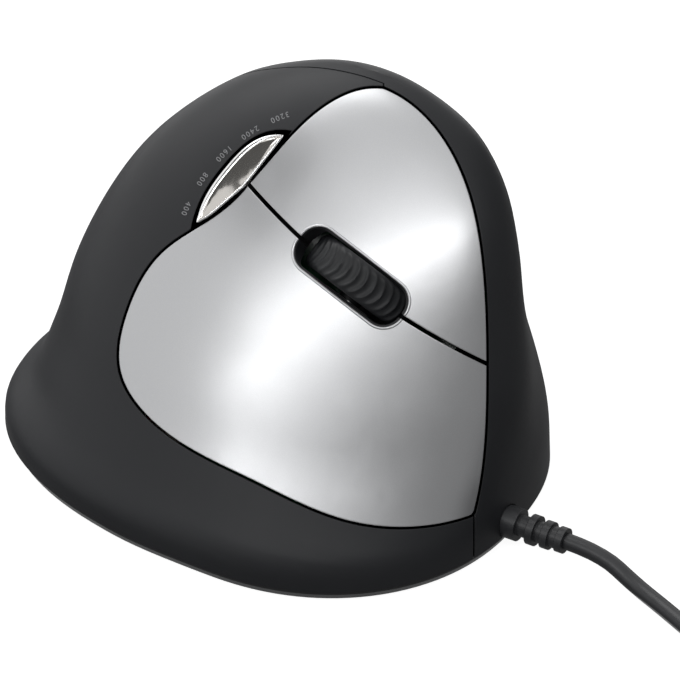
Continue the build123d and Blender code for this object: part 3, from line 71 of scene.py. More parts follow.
@dataclass(frozen=True)
class Axes:
    """A right-handed set of directions about a point, in metres."""

    origin: Vector
    x: Vector
    y: Vector
    z: Vector

    def matrix(self) -> Matrix:
        """The matrix that places a piece, modelled in metres, on these axes."""
        turn = Matrix((self.x, self.y, self.z)).transposed().to_4x4()
        return Matrix.Translation(self.origin) @ turn


def facing(bearing: float, elevation: float) -> tuple[Vector, Vector, Vector]:
    """The directions of a plane that faces a bearing and an elevation.

    Args:
        bearing: degrees round the vertical.
        elevation: degrees above the desk.

    Returns:
        The directions across it, up it and out of it.
    """
    turn, lift = math.radians(bearing), math.radians(elevation)
    across = Vector((math.cos(turn), math.sin(turn), 0))
    level = Vector((math.sin(turn), -math.cos(turn), 0))
    out = level * math.cos(lift) + Vector((0, 0, math.sin(lift)))
    return across, out.cross(across), out


@dataclass(frozen=True)
class FingerFace:
    """The plane that the finger panel, its slot and the chrome key are cut on."""

    bearing: float = 120.0
    elevation: float = 36.0
    above: float = 90.0
    inside: float = 30.0

    def point(self, across: float, up: float, level: float) -> Vector:
        """A place of the plane in metres, from millimetres across, up and out of it."""
        ways = facing(self.bearing, self.elevation)
        return (ways[0] * across + ways[1] * up + ways[2] * level) * MM

    def way(self, across: float, up: float) -> Vector:
        """A direction in the plane."""
        ways = facing(self.bearing, self.elevation)
        return (ways[0] * across + ways[1] * up).normalized()

    def out(self) -> Vector:
        """The direction out of the plane."""
        return facing(self.bearing, self.elevation)[2]

    def ground(self, tree: BVHTree, across: float, up: float) -> tuple[Vector, Vector]:
        """The skin below a place of the plane.

        Args:
            tree: the skin's faces.
            across: millimetres across the plane.
            up: millimetres up the plane.

        Returns:
            The point of the skin and its normal.
        """
        start = self.point(across, up, self.above)
        spot, normal, _, _ = tree.ray_cast(start, -self.out())
        if spot is None:
            spot, normal, _, _ = tree.find_nearest(self.point(across, up, self.inside))
        return spot, normal if normal.dot(self.out()) > 0 else -normal


FACE = FingerFace()


def tree_of(obj: bpy.types.Object) -> BVHTree:
    """The faces of a piece, for finding places on it."""
    mesh = obj.data
    corners = [vert.co.copy() for vert in mesh.vertices]
    return BVHTree.FromPolygons(corners, [tuple(face.vertices) for face in mesh.polygons])


def joint_named(name: str) -> dict:
    """Finds a joint of the frame.

    Args:
        name: the joint's name in the record.

    Returns:
        The joint's facts.
    """
    return next(joint for joint in frame["joints"] if joint["name"] == name)


def wheel_axes() -> Axes:
    """The wheel's axes: y along the axle, z out of the housing, x forwards.

    Returns:
        The axes, at the middle of the wheel.
    """
    spin, click = joint_named("wheel_spin"), joint_named("wheel_click")
    along = Vector(spin["axis"]).normalized()
    out = -Vector(click["axis"]).normalized()
    return Axes(Vector(spin["pos_m"]), along.cross(out).normalized(), along, out)


class Shader:
    """A node material while it is being put together."""

    def __init__(self, name: str) -> None:
        """Starts a material with its surface shader and object coordinates."""
        self.material = bpy.data.materials.new(name)
        self.material.use_nodes = True
        tree = self.material.node_tree
        self.nodes, self.links = tree.nodes, tree.links
        self.surface = self.nodes["Principled BSDF"]
        self.place = self.nodes.new("ShaderNodeTexCoord").outputs["Object"]

    def set(self, **values: object) -> None:
        """Sets the surface shader's own sockets, with spaces for underscores."""
        for name, value in values.items():
            self.surface.inputs[name.replace("_", " ")].default_value = value

    def link(self, source: bpy.types.NodeSocket, target: str) -> None:
        """Joins a source to one of the surface shader's sockets."""
        self.links.new(source, self.surface.inputs[target])

    def stretched(self, scale: tuple[float, float, float]) -> bpy.types.NodeSocket:
        """Object coordinates, stretched along the row's axes.

        Args:
            scale: how often the pattern repeats along each axis.

        Returns:
            The stretched coordinates.
        """
        node = self.nodes.new("ShaderNodeMapping")
        node.inputs["Scale"].default_value = scale
        self.links.new(self.place, node.inputs["Vector"])
        return node.outputs["Vector"]

    def noise(
        self, scale: float, detail: float = 3.0, place: bpy.types.NodeSocket | None = None
    ) -> bpy.types.NodeSocket:
        """A noise pattern.

        Args:
            scale: cells per metre.
            detail: how many finer layers it has.
            place: the coordinates that it follows, or the object's.

        Returns:
            The pattern's grey value.
        """
        node = self.nodes.new("ShaderNodeTexNoise")
        node.inputs["Scale"].default_value = scale
        node.inputs["Detail"].default_value = detail
        self.links.new(place or self.place, node.inputs["Vector"])
        return node.outputs["Fac"]

    def cells(self, scale: float) -> bpy.types.NodeSocket:
        """Fine grains, each of its own grey.

        Args:
            scale: grains per metre.

        Returns:
            The grains' grey value.
        """
        node = self.nodes.new("ShaderNodeTexVoronoi")
        node.inputs["Scale"].default_value = scale
        self.links.new(self.place, node.inputs["Vector"])
        return node.outputs["Distance"]

    def ramp(
        self,
        source: bpy.types.NodeSocket,
        low: tuple[float, float, float],
        high: tuple[float, float, float],
        ends: tuple[float, float] = (0.3, 0.7),
    ) -> bpy.types.NodeSocket:
        """A colour that runs with a pattern.

        Args:
            source: the pattern.
            low: the colour at its low end.
            high: the colour at its high end.
            ends: where the two ends lie.

        Returns:
            The colour.
        """
        node = self.nodes.new("ShaderNodeValToRGB")
        for stop, place, colour in zip(node.color_ramp.elements, ends, (low, high)):
            stop.position = place
            stop.color = (*colour, 1.0)
        self.links.new(source, node.inputs["Fac"])
        return node.outputs["Color"]

    def spread(
        self, source: bpy.types.NodeSocket, low: float, high: float
    ) -> bpy.types.NodeSocket:
        """A number that runs with a pattern, from low to high."""
        node = self.nodes.new("ShaderNodeMapRange")
        node.inputs["To Min"].default_value = low
        node.inputs["To Max"].default_value = high
        self.links.new(source, node.inputs["Value"])
        return node.outputs["Result"]

    def relief(
        self,
        height: bpy.types.NodeSocket,
        depth: float,
        strength: float = 1.0,
        rounding: float = 0.0,
    ) -> None:
        """Raises the surface with a pattern.

        Args:
            height: the pattern.
            depth: its depth in metres.
            strength: how plainly it shows.
            rounding: the radius in metres that softens the piece's edges.
        """
        node = self.nodes.new("ShaderNodeBump")
        node.inputs["Distance"].default_value = depth
        node.inputs["Strength"].default_value = strength
        self.links.new(height, node.inputs["Height"])
        if rounding:
            edge = self.nodes.new("ShaderNodeBevel")
            edge.samples = 6
            edge.inputs["Radius"].default_value = rounding
            self.links.new(edge.outputs["Normal"], node.inputs["Normal"])
        self.links.new(node.outputs["Normal"], self.surface.inputs["Normal"])


Colour = tuple[float, float, float]


@dataclass(frozen=True)
class MouldedPlastic:
    """Moulded plastic or rubber: a fine grain, slight mottling and an uneven gloss."""

    name: str
    dark: Colour
    light: Colour
    rough: tuple[float, float] = (0.42, 0.55)
    grain: float = 9000.0
    grain_depth: float = 0.000012
    mottle: float = 90.0
    specular: float = 0.4
    rounding: float = 0.0
    metallic: float = 0.0
    coat: float = 0.0

    def build(self) -> bpy.types.Material:
        """Puts the material together.

        Returns:
            The material.
        """
        shader = Shader(self.name)
        mottle = shader.noise(self.mottle)
        shader.link(shader.ramp(mottle, self.dark, self.light), "Base Color")
        shader.link(shader.spread(shader.noise(self.mottle * 4), *self.rough), "Roughness")
        shader.set(Metallic=self.metallic, Specular_IOR_Level=self.specular)
        shader.set(Coat_Weight=self.coat, Coat_Roughness=0.12)
        shader.relief(shader.noise(self.grain, 2.0), self.grain_depth, 0.6, self.rounding)
        return shader.material


@dataclass(frozen=True)
class MetallicLacquer:
    """Silver lacquer on plastic: fine flakes under a satin clear coat."""

    name: str
    dark: Colour
    light: Colour
    flake: float = 16000.0
    rough: tuple[float, float] = (0.27, 0.33)
    rounding: float = 0.0003

    def build(self) -> bpy.types.Material:
        """Puts the material together.

        Returns:
            The material.
        """
        shader = Shader(self.name)
        flakes = shader.cells(self.flake)
        shader.link(shader.ramp(flakes, self.dark, self.light, (0.1, 0.9)), "Base Color")
        shader.link(shader.spread(shader.noise(140.0), *self.rough), "Roughness")
        shader.set(Metallic=0.88, Specular_IOR_Level=0.5)
        shader.relief(flakes, 0.000004, 0.25, self.rounding)
        return shader.material


@dataclass(frozen=True)
class TurnedMetal:
    """Bright metal with fine lines from its tools."""

    name: str
    dark: Colour
    light: Colour
    rough: tuple[float, float] = (0.18, 0.32)
    lines: tuple[float, float, float] = (300.0, 300.0, 9000.0)
    depth: float = 0.000004
    rounding: float = 0.00015

    def build(self) -> bpy.types.Material:
        """Puts the material together.

        Returns:
            The material.
        """
        shader = Shader(self.name)
        lines = shader.noise(1.0, 2.0, shader.stretched(self.lines))
        shader.link(shader.ramp(lines, self.dark, self.light), "Base Color")
        shader.link(shader.spread(lines, *self.rough), "Roughness")
        shader.set(Metallic=1.0)
        shader.relief(lines, self.depth, 0.4, self.rounding)
        return shader.material


@dataclass(frozen=True)
class ClearMoulding:
    """Clear moulded plastic with faint flow marks."""

    name: str
    tint: Colour

    def build(self) -> bpy.types.Material:
        """Puts the material together.

        Returns:
            The material.
        """
        shader = Shader(self.name)
        marks = shader.noise(300.0)
        shader.link(shader.spread(marks, 0.04, 0.12), "Roughness")
        shader.set(Base_Color=(*self.tint, 1.0), Transmission_Weight=0.85, IOR=1.49)
        shader.relief(marks, 0.00001, 0.2)
        return shader.material


FINISHES = {
    "soft_shell": MouldedPlastic(
        "soft touch shell", (0.0135, 0.0142, 0.0165), (0.0165, 0.0175, 0.0200), (0.40, 0.46),
        grain=14000.0, grain_depth=0.000006, mottle=45.0, specular=0.3, rounding=0.0003,
    ),
    "silver_shell": MetallicLacquer("silver lacquer", (0.44, 0.445, 0.455), (0.52, 0.525, 0.535)),
    "chrome_key": TurnedMetal(
        "chrome", (0.74, 0.73, 0.72), (0.80, 0.80, 0.80), (0.05, 0.09),
        (60.0, 60.0, 60.0), 0.000001, 0.0004,
    ),
    "side_key_plastic": MouldedPlastic(
        "side key gloss", (0.011, 0.0115, 0.013), (0.015, 0.016, 0.018), (0.22, 0.30),
        grain_depth=0.000002, specular=0.5, rounding=0.0004,
    ),
    "wheel_rubber": MouldedPlastic(
        "wheel rubber", (0.012, 0.013, 0.0145), (0.017, 0.018, 0.020), (0.42, 0.52),
        grain=12000.0, grain_depth=0.000005, mottle=600.0, specular=0.32,
    ),
    "dark_plastic": MouldedPlastic(
        "base plastic", (0.010, 0.0105, 0.012), (0.014, 0.0145, 0.017), (0.45, 0.6),
        grain=5000.0, grain_depth=0.00002, specular=0.4, rounding=0.0003,
    ),
    "frame_plastic": MouldedPlastic("frame plastic", (0.02, 0.02, 0.022), (0.03, 0.03, 0.032)),
    "foot_plastic": MouldedPlastic(
        "glide foot", (0.055, 0.056, 0.06), (0.075, 0.076, 0.08), (0.2, 0.35),
        grain_depth=0.000003, rounding=0.0002,
    ),
    "board": MouldedPlastic(
        "board lacquer", (0.008, 0.075, 0.028), (0.012, 0.105, 0.040), (0.2, 0.3),
        grain=2500.0, grain_depth=0.00001, mottle=700.0, coat=0.4,
    ),
    "switch_plastic": MouldedPlastic("switch case", (0.018, 0.018, 0.02), (0.03, 0.03, 0.032)),
    "plunger_plastic": MouldedPlastic(
        "plunger", (0.66, 0.64, 0.56), (0.74, 0.72, 0.65), (0.25, 0.4), grain_depth=0.000004,
    ),
    "steel": TurnedMetal("bright steel", (0.46, 0.46, 0.47), (0.60, 0.60, 0.61)),
    "chip": MouldedPlastic("chip moulding", (0.012, 0.012, 0.013), (0.02, 0.02, 0.021)),
    "clear": ClearMoulding("clear moulding", (0.92, 0.94, 0.95)),
    "lamp_red": MouldedPlastic(
        "tinted lamp", (0.42, 0.010, 0.008), (0.55, 0.016, 0.010), (0.1, 0.2), coat=0.6,
    ),
    "connector_plastic": MouldedPlastic(
        "connector moulding", (0.55, 0.52, 0.42), (0.66, 0.63, 0.52), (0.35, 0.5),
    ),
    "lead_insulation": MouldedPlastic(
        "lead insulation", (0.20, 0.012, 0.012), (0.27, 0.018, 0.016), (0.3, 0.45),
    ),
    "cable_rubber": MouldedPlastic(
        "cable sheath", (0.017, 0.0178, 0.020), (0.024, 0.025, 0.028), (0.34, 0.44),
        grain=7000.0, grain_depth=0.000008, mottle=160.0, specular=0.5, rounding=0.0002,
    ),
    "tie_plastic": MouldedPlastic(
        "hook and loop tie", (0.012, 0.012, 0.013), (0.022, 0.022, 0.024), (0.7, 0.9),
        grain=3000.0, grain_depth=0.00008, specular=0.2,
    ),
    "insert_plastic": MouldedPlastic(
        "plug insert", (0.58, 0.58, 0.56), (0.68, 0.68, 0.66), (0.35, 0.5),
    ),
}

PRINT = MouldedPlastic(
    "printed numbers", (0.26, 0.265, 0.275), (0.32, 0.325, 0.335), (0.45, 0.6), specular=0.3,
)
RIM = TurnedMetal(
    "key rim", (0.80, 0.80, 0.80), (0.88, 0.88, 0.88), (0.08, 0.12), (60.0, 60.0, 60.0), 0.0,
)
# Painted reflection: the mirror's warm grey base colour, darker than the rims, stands in for the beige that the
# chrome reflects.
MIRROR_PAINTED_REFLECTION = TurnedMetal(
    "key mirror painted reflection", (0.56, 0.54, 0.51), (0.60, 0.58, 0.55), (0.05, 0.08), (60.0, 60.0, 60.0), 0.0,
)


def settle(obj: bpy.types.Object, body: Carrier, finish: bpy.types.Material) -> None:
    """Gives a new piece its material and its body.

    Args:
        obj: the piece.
        body: the body that carries it.
        finish: the material.
    """
    bpy.context.scene.collection.objects.link(obj)
    obj.data.materials.clear()
    obj.data.materials.append(finish)
    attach(obj, body.value)


def object_from(bm: bmesh.types.BMesh, name: str, sharp: float = CREASE) -> bpy.types.Object:
    """Turns a bmesh into an object with smooth faces and sharp creases.

    Args:
        bm: the mesh, which is freed.
        name: the object's name.
        sharp: the angle in degrees past which an edge stays sharp.

    Returns:
        The object.
    """
    for face in bm.faces:
        face.smooth = True
    for edge in bm.edges:
        edge.smooth = len(edge.link_faces) == 2 and edge.calc_face_angle() < math.radians(sharp)
    mesh = bpy.data.meshes.new(name)
    bm.to_mesh(mesh)
    bm.free()
    return bpy.data.objects.new(name, mesh)


def merged_copy(node: str, name: str, sharp: float = CREASE) -> bpy.types.Object:
    """A copy of a CAD node with its loose triangles merged, so that it can be smooth.

    Args:
        node: the CAD node.
        name: the new piece's name.
        sharp: the angle in degrees past which an edge stays sharp.

    Returns:
        The copy.
    """
    bm = bmesh.new()
    bm.from_mesh(frame["nodes"][node].data)
    bmesh.ops.remove_doubles(bm, verts=bm.verts, dist=MERGE_REACH * MM)
    obj = object_from(bm, name, sharp)
    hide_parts(node)
    return obj


class Finishes:
    """Every material of the record's slots, on the nodes that have them."""

    def __init__(self) -> None:
        """Builds one material for each slot."""
        self.made = {slot: finish.build() for slot, finish in FINISHES.items()}
        self.slots = {
            part["node"]: part["material_slot"] for part in frame["record"]["subparts"]
        }

    def dress_nodes(self) -> None:
        """Gives every CAD node the material of its slot."""
        for node, obj in frame["nodes"].items():
            obj.data.materials.clear()
            obj.data.materials.append(self.made[self.slots[node]])
            log.info("dressed node %s as %s", node, self.slots[node])


@dataclass
class ScrollWheel:
    """The rubber tyre with its curved ribs, on the hub."""

    radius: float = 11.3
    seat: float = 9.1
    half_width: float = 3.5
    shoulder: float = 1.2
    rib_count: int = 36
    rib_height: float = 0.26
    rib_sag: float = 3.2
    collar: float = 2.4
    collar_width: float = 0.75
    collar_sides: int = 48
    ridge_width: float = 0.13
    hollow: float = 0.35
    shoulder_steps: int = 6
    crown_steps: int = 14
    still_depth: float = 0.5
    steps: int = 360
    crease: float = 50.0

    def rib(self, angle: float, across: float) -> float:
        """How far a rib stands at a place of the tread.

        Args:
            angle: the place round the wheel, in radians.
            across: the place across the tread, from -1 to 1.

        Returns:
            The height in millimetres.
        """
        sag = self.rib_sag / self.radius * (1 - math.sqrt(max(0.0, 1 - across * across)))
        phase = ((angle - sag) * self.rib_count / (2 * math.pi)) % 1.0
        ridge = math.exp(-(((phase - 0.5) / self.ridge_width) ** 2))
        hollow = self.hollow * math.cos(2 * math.pi * phase)
        return self.rib_height * (ridge - hollow) * (1 - across**4)

    def build(self, finish: bpy.types.Material) -> None:
        """Spins the tyre's section round the axle and raises its ribs.

        Args:
            finish: the rubber.
        """
        crown = self.radius - self.rib_height
        half, corner = self.half_width, self.shoulder
        section = [(self.seat, -half), (crown - corner, -half)]
        for k in range(1, self.shoulder_steps):
            turn = math.pi / 2 * k / self.shoulder_steps
            section.append(
                (crown - corner * (1 - math.sin(turn)), -half + corner * (1 - math.cos(turn)))
            )
        inner = half - corner
        flank = list(section)
        count = self.crown_steps
        section += [(crown, -inner + 2 * inner * k / count) for k in range(count + 1)]
        section += [(r, -y) for r, y in reversed(flank)]
        bm = bmesh.new()
        ring = [bm.verts.new((r * MM, y * MM, 0)) for r, y in section]
        edges = [bm.edges.new(pair) for pair in zip(ring, ring[1:] + ring[:1])]
        bmesh.ops.spin(
            bm, geom=[*ring, *edges], cent=(0, 0, 0), axis=(0, 1, 0), dvec=(0, 0, 0),
            angle=2 * math.pi, steps=self.steps, use_merge=True,
        )
        for vert in bm.verts:
            reach = math.hypot(vert.co.x, vert.co.z)
            if reach > (self.seat + self.still_depth) * MM:
                angle = math.atan2(vert.co.z, vert.co.x)
                lift = self.rib(angle, vert.co.y / MM / half) * MM
                vert.co.x *= (reach + lift) / reach
                vert.co.z *= (reach + lift) / reach
        bmesh.ops.recalc_face_normals(bm, faces=bm.faces)
        bmesh.ops.transform(bm, matrix=wheel_axes().matrix(), verts=bm.verts)
        tyre = object_from(bm, "ribbed_tyre", self.crease)
        settle(tyre, Carrier.WHEEL, finish)
        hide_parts("wheel_tyre")
        self.collars(finish)
        log.info("built the ribbed tyre")

    def collars(self, finish: bpy.types.Material) -> None:
        """Makes the dark collars between the wheel and its cradle.

        Args:
            finish: their material.
        """
        for side, name in ((-1, "left_collar"), (1, "right_collar")):
            bm = bmesh.new()
            bmesh.ops.create_cone(
                bm, cap_ends=True, segments=self.collar_sides, radius1=self.collar * MM,
                radius2=self.collar * MM, depth=self.collar_width * MM,
            )
            middle = Vector((0, side * (self.half_width + self.collar_width / 2), 0)) * MM
            lay = Matrix.Translation(middle) @ Matrix.Rotation(math.pi / 2, 4, "X")
            bmesh.ops.transform(bm, matrix=wheel_axes().matrix() @ lay, verts=bm.verts)
            bmesh.ops.recalc_face_normals(bm, faces=bm.faces)
            settle(object_from(bm, name), Carrier.WHEEL, finish)


@dataclass
class Shells:
    """The two soft-touch shells, the lacquered finger plates and the small keys."""

    pieces: tuple[tuple[str, str, Carrier], ...] = (
        ("palm_shell", "palm_cover", Carrier.HOUSING),
        ("thumb_shell", "thumb_cover", Carrier.HOUSING),
        ("base_plate", "base_cover", Carrier.HOUSING),
        ("upper_button", "upper_finger_plate", Carrier.UPPER_FINGER),
        ("lower_button", "lower_finger_plate", Carrier.LOWER_FINGER),
        ("dpi_button", "resolution_lens", Carrier.RESOLUTION_KEY),
        ("rear_side_button", "rear_thumb_key", Carrier.REAR_KEY),
        ("front_side_button", "front_thumb_key", Carrier.FRONT_KEY),
        ("strain_relief", "cable_grommet", Carrier.HOUSING),
    )

    def build(self, finishes: Finishes) -> dict[str, bpy.types.Object]:
        """Makes a smooth cover for each visible shell and key.

        Args:
            finishes: the materials of the record's slots.

        Returns:
            The covers, by the node that each replaces.
        """
        covers = {}
        for node, name, body in self.pieces:
            cover = merged_copy(node, name)
            slot = finishes.slots[node]
            settle(cover, body, finishes.made[slot])
            covers[node] = cover
            log.info("covered %s", node)
        return covers


def sweep(sections: list[list[Vector]], name: str, sharp: float = CREASE) -> bpy.types.Object:
    """Joins closed sections into one closed bar.

    Args:
        sections: rings of as many points each, from one end to the other.
        name: the piece's name.
        sharp: the angle in degrees past which an edge stays sharp.

    Returns:
        The bar.
    """
    bm = bmesh.new()
    rings = [[bm.verts.new(point) for point in ring] for ring in sections]
    for one, two in zip(rings, rings[1:]):
        for k in range(len(one)):
            after = (k + 1) % len(one)
            bm.faces.new((one[k], one[after], two[after], two[k]))
    bm.faces.new(rings[0])
    bm.faces.new(rings[-1])
    bmesh.ops.recalc_face_normals(bm, faces=bm.faces)
    return object_from(bm, name, sharp)


def put_on_stage(obj: bpy.types.Object, grey: float, rough: float) -> bpy.types.Material:
    """Adds an object that isn't part of the mouse, with a plain material that can glow.

    Args:
        obj: the object.
        grey: how light it is.
        rough: how rough it is.

    Returns:
        The material.
    """
    bpy.context.scene.collection.objects.link(obj)
    material = bpy.data.materials.new(obj.name)
    material.use_nodes = True
    surface = material.node_tree.nodes["Principled BSDF"]
    surface.inputs["Base Color"].default_value = (grey, grey, grey, 1)
    surface.inputs["Roughness"].default_value = rough
    surface.inputs["Specular IOR Level"].default_value = 0.0
    surface.inputs["Emission Color"].default_value = (1, 1, 1, 1)
    obj.data.materials.append(material)
    return material


def stage_card(name: str, centre: Vector, wide: Vector, high: Vector, level: float) -> None:
    """Puts up a card that only shows in reflections.

    Args:
        name: the card's name.
        centre: its middle, in metres.
        wide: half of its width.
        high: half of its height.
        level: how bright it looks, where white is 1.
    """
    bm = bmesh.new()
    corners = ((-1, -1), (1, -1), (1, 1), (-1, 1))
    bm.faces.new([bm.verts.new(centre + wide * x + high * y) for x, y in corners])
    card = object_from(bm, name)
    nodes = put_on_stage(card, 0, 1).node_tree.nodes
    nodes["Principled BSDF"].inputs["Emission Strength"].default_value = level
    card.visible_camera = False
    card.visible_diffuse = False
    card.visible_shadow = False


@dataclass
class WheelSlot:
    """The bright lip round the wheel's slot and the dark liner under it, in two halves."""

    across: float = 15.03
    up: float = 33.09
    turn: float = -38.03
    half_length: float = 12.0
    half_width: float = 4.5
    corner: float = 3.9
    seam: float = 0.45
    lip_half: float = 0.26
    lip_height: float = 0.17
    plate: float = 2.0
    liner: float = 0.6
    side_ledge: float = 0.45
    rear_ledge: float = 2.0
    rear_start: float = 8.5
    rear_blend: float = 3.0
    ledge_slope: float = 1.35
    corner_steps: int = 12
    side_steps: int = 12
    lip_profile: tuple[tuple[float, float], ...] = (
        (-1, -0.7), (-1, 0.2), (-0.6, 0.8), (0, 1), (0.6, 0.75), (1, 0.1), (1, -0.7),
    )
    lip_crease: float = 60.0
    liner_back: float = 3.0
    liner_edge: float = 0.8

    def half_outline(self, side: int) -> list[tuple[Vector, Vector]]:
        """Half of the slot's outline, from its rear end to its front end.

        Args:
            side: 1 for the upper finger and -1 for the lower one.

        Returns:
            Each place with its outward direction, in the slot's own axes.
        """
        x, y, r = self.half_length - self.corner, self.half_width - self.corner, self.corner
        places = [(Vector((-self.half_length, self.seam)), Vector((-1, 0)))]
        for middle, first in ((-x, math.pi), (x, math.pi / 2)):
            for k in range(self.corner_steps + 1):
                turn = first - math.pi / 2 * k / self.corner_steps
                way = Vector((math.cos(turn), math.sin(turn)))
                places.append((Vector((middle, y)) + way * r, way))
            if middle < 0:
                for k in range(1, self.side_steps):
                    along = -x + 2 * x * k / self.side_steps
                    places.append((Vector((along, y + r)), Vector((0, 1))))
        places.append((Vector((self.half_length, self.seam)), Vector((1, 0))))
        return [(Vector((p.x, side * p.y)), Vector((w.x, side * w.y))) for p, w in places]

    def turned(self, place: Vector) -> Vector:
        """Turns a place or a direction from the slot's axes to the face's."""
        return Matrix.Rotation(math.radians(self.turn), 2) @ place

    def half(self, side: int, skin: BVHTree) -> tuple[list[list[Vector]], list[list[Vector]]]:
        """The sections of one half of the lip and of the liner.

        Args:
            side: 1 for the upper finger and -1 for the lower one.
            skin: the faces of that finger's plate.

        Returns:
            The lip's sections and the liner's.
        """
        lips, liners = [], []
        for place, way in self.half_outline(side):
            edge = self.turned(place + way * self.lip_half)
            spot, normal = FACE.ground(skin, self.across + edge.x, self.up + edge.y)
            flat_way = self.turned(way)
            level_way = FACE.way(flat_way.x, flat_way.y)
            along_skin = (level_way - normal * level_way.dot(normal)).normalized()
            half, high = self.lip_half, self.lip_height
            lips.append([
                spot + (along_skin * a * half + normal * b * high) * MM for a, b in self.lip_profile
            ])
            rear = min(max((-self.rear_start - place.x) / self.rear_blend, 0), 1)
            ledge = self.side_ledge + (self.rear_ledge - self.side_ledge) * rear**2 * (3 - 2 * rear)
            drop = self.ledge_slope * (ledge - self.side_ledge)
            top, low = -self.plate, -self.plate - self.liner
            back, tip = self.liner_back * half, low - drop
            shape = (
                (back, top), (back, low), (0, low), (-ledge, tip),
                (-ledge, tip + self.liner * self.liner_edge), (-half, top),
            )
            edge_point = spot - level_way * half * MM
            liners.append([edge_point + (level_way * a + FACE.out() * b) * MM for a, b in shape])
        return lips, liners

    def build(self, covers: dict[str, bpy.types.Object], finishes: Finishes) -> None:
        """Makes both halves of the lip and of the liner.

        Args:
            covers: the covers of the CAD nodes.
            finishes: the materials of the record's slots.
        """
        for side, node, body in (
            (1, "upper_button", Carrier.UPPER_FINGER), (-1, "lower_button", Carrier.LOWER_FINGER),
        ):
            lips, liners = self.half(side, tree_of(covers[node]))
            lip = sweep(lips, f"{body.value}_slot_lip", self.lip_crease)
            settle(lip, body, finishes.made["silver_shell"])
            liner = sweep(liners, f"{body.value}_slot_liner")
            settle(liner, body, finishes.made["dark_plastic"])
            log.info("trimmed the slot on %s", body.value)


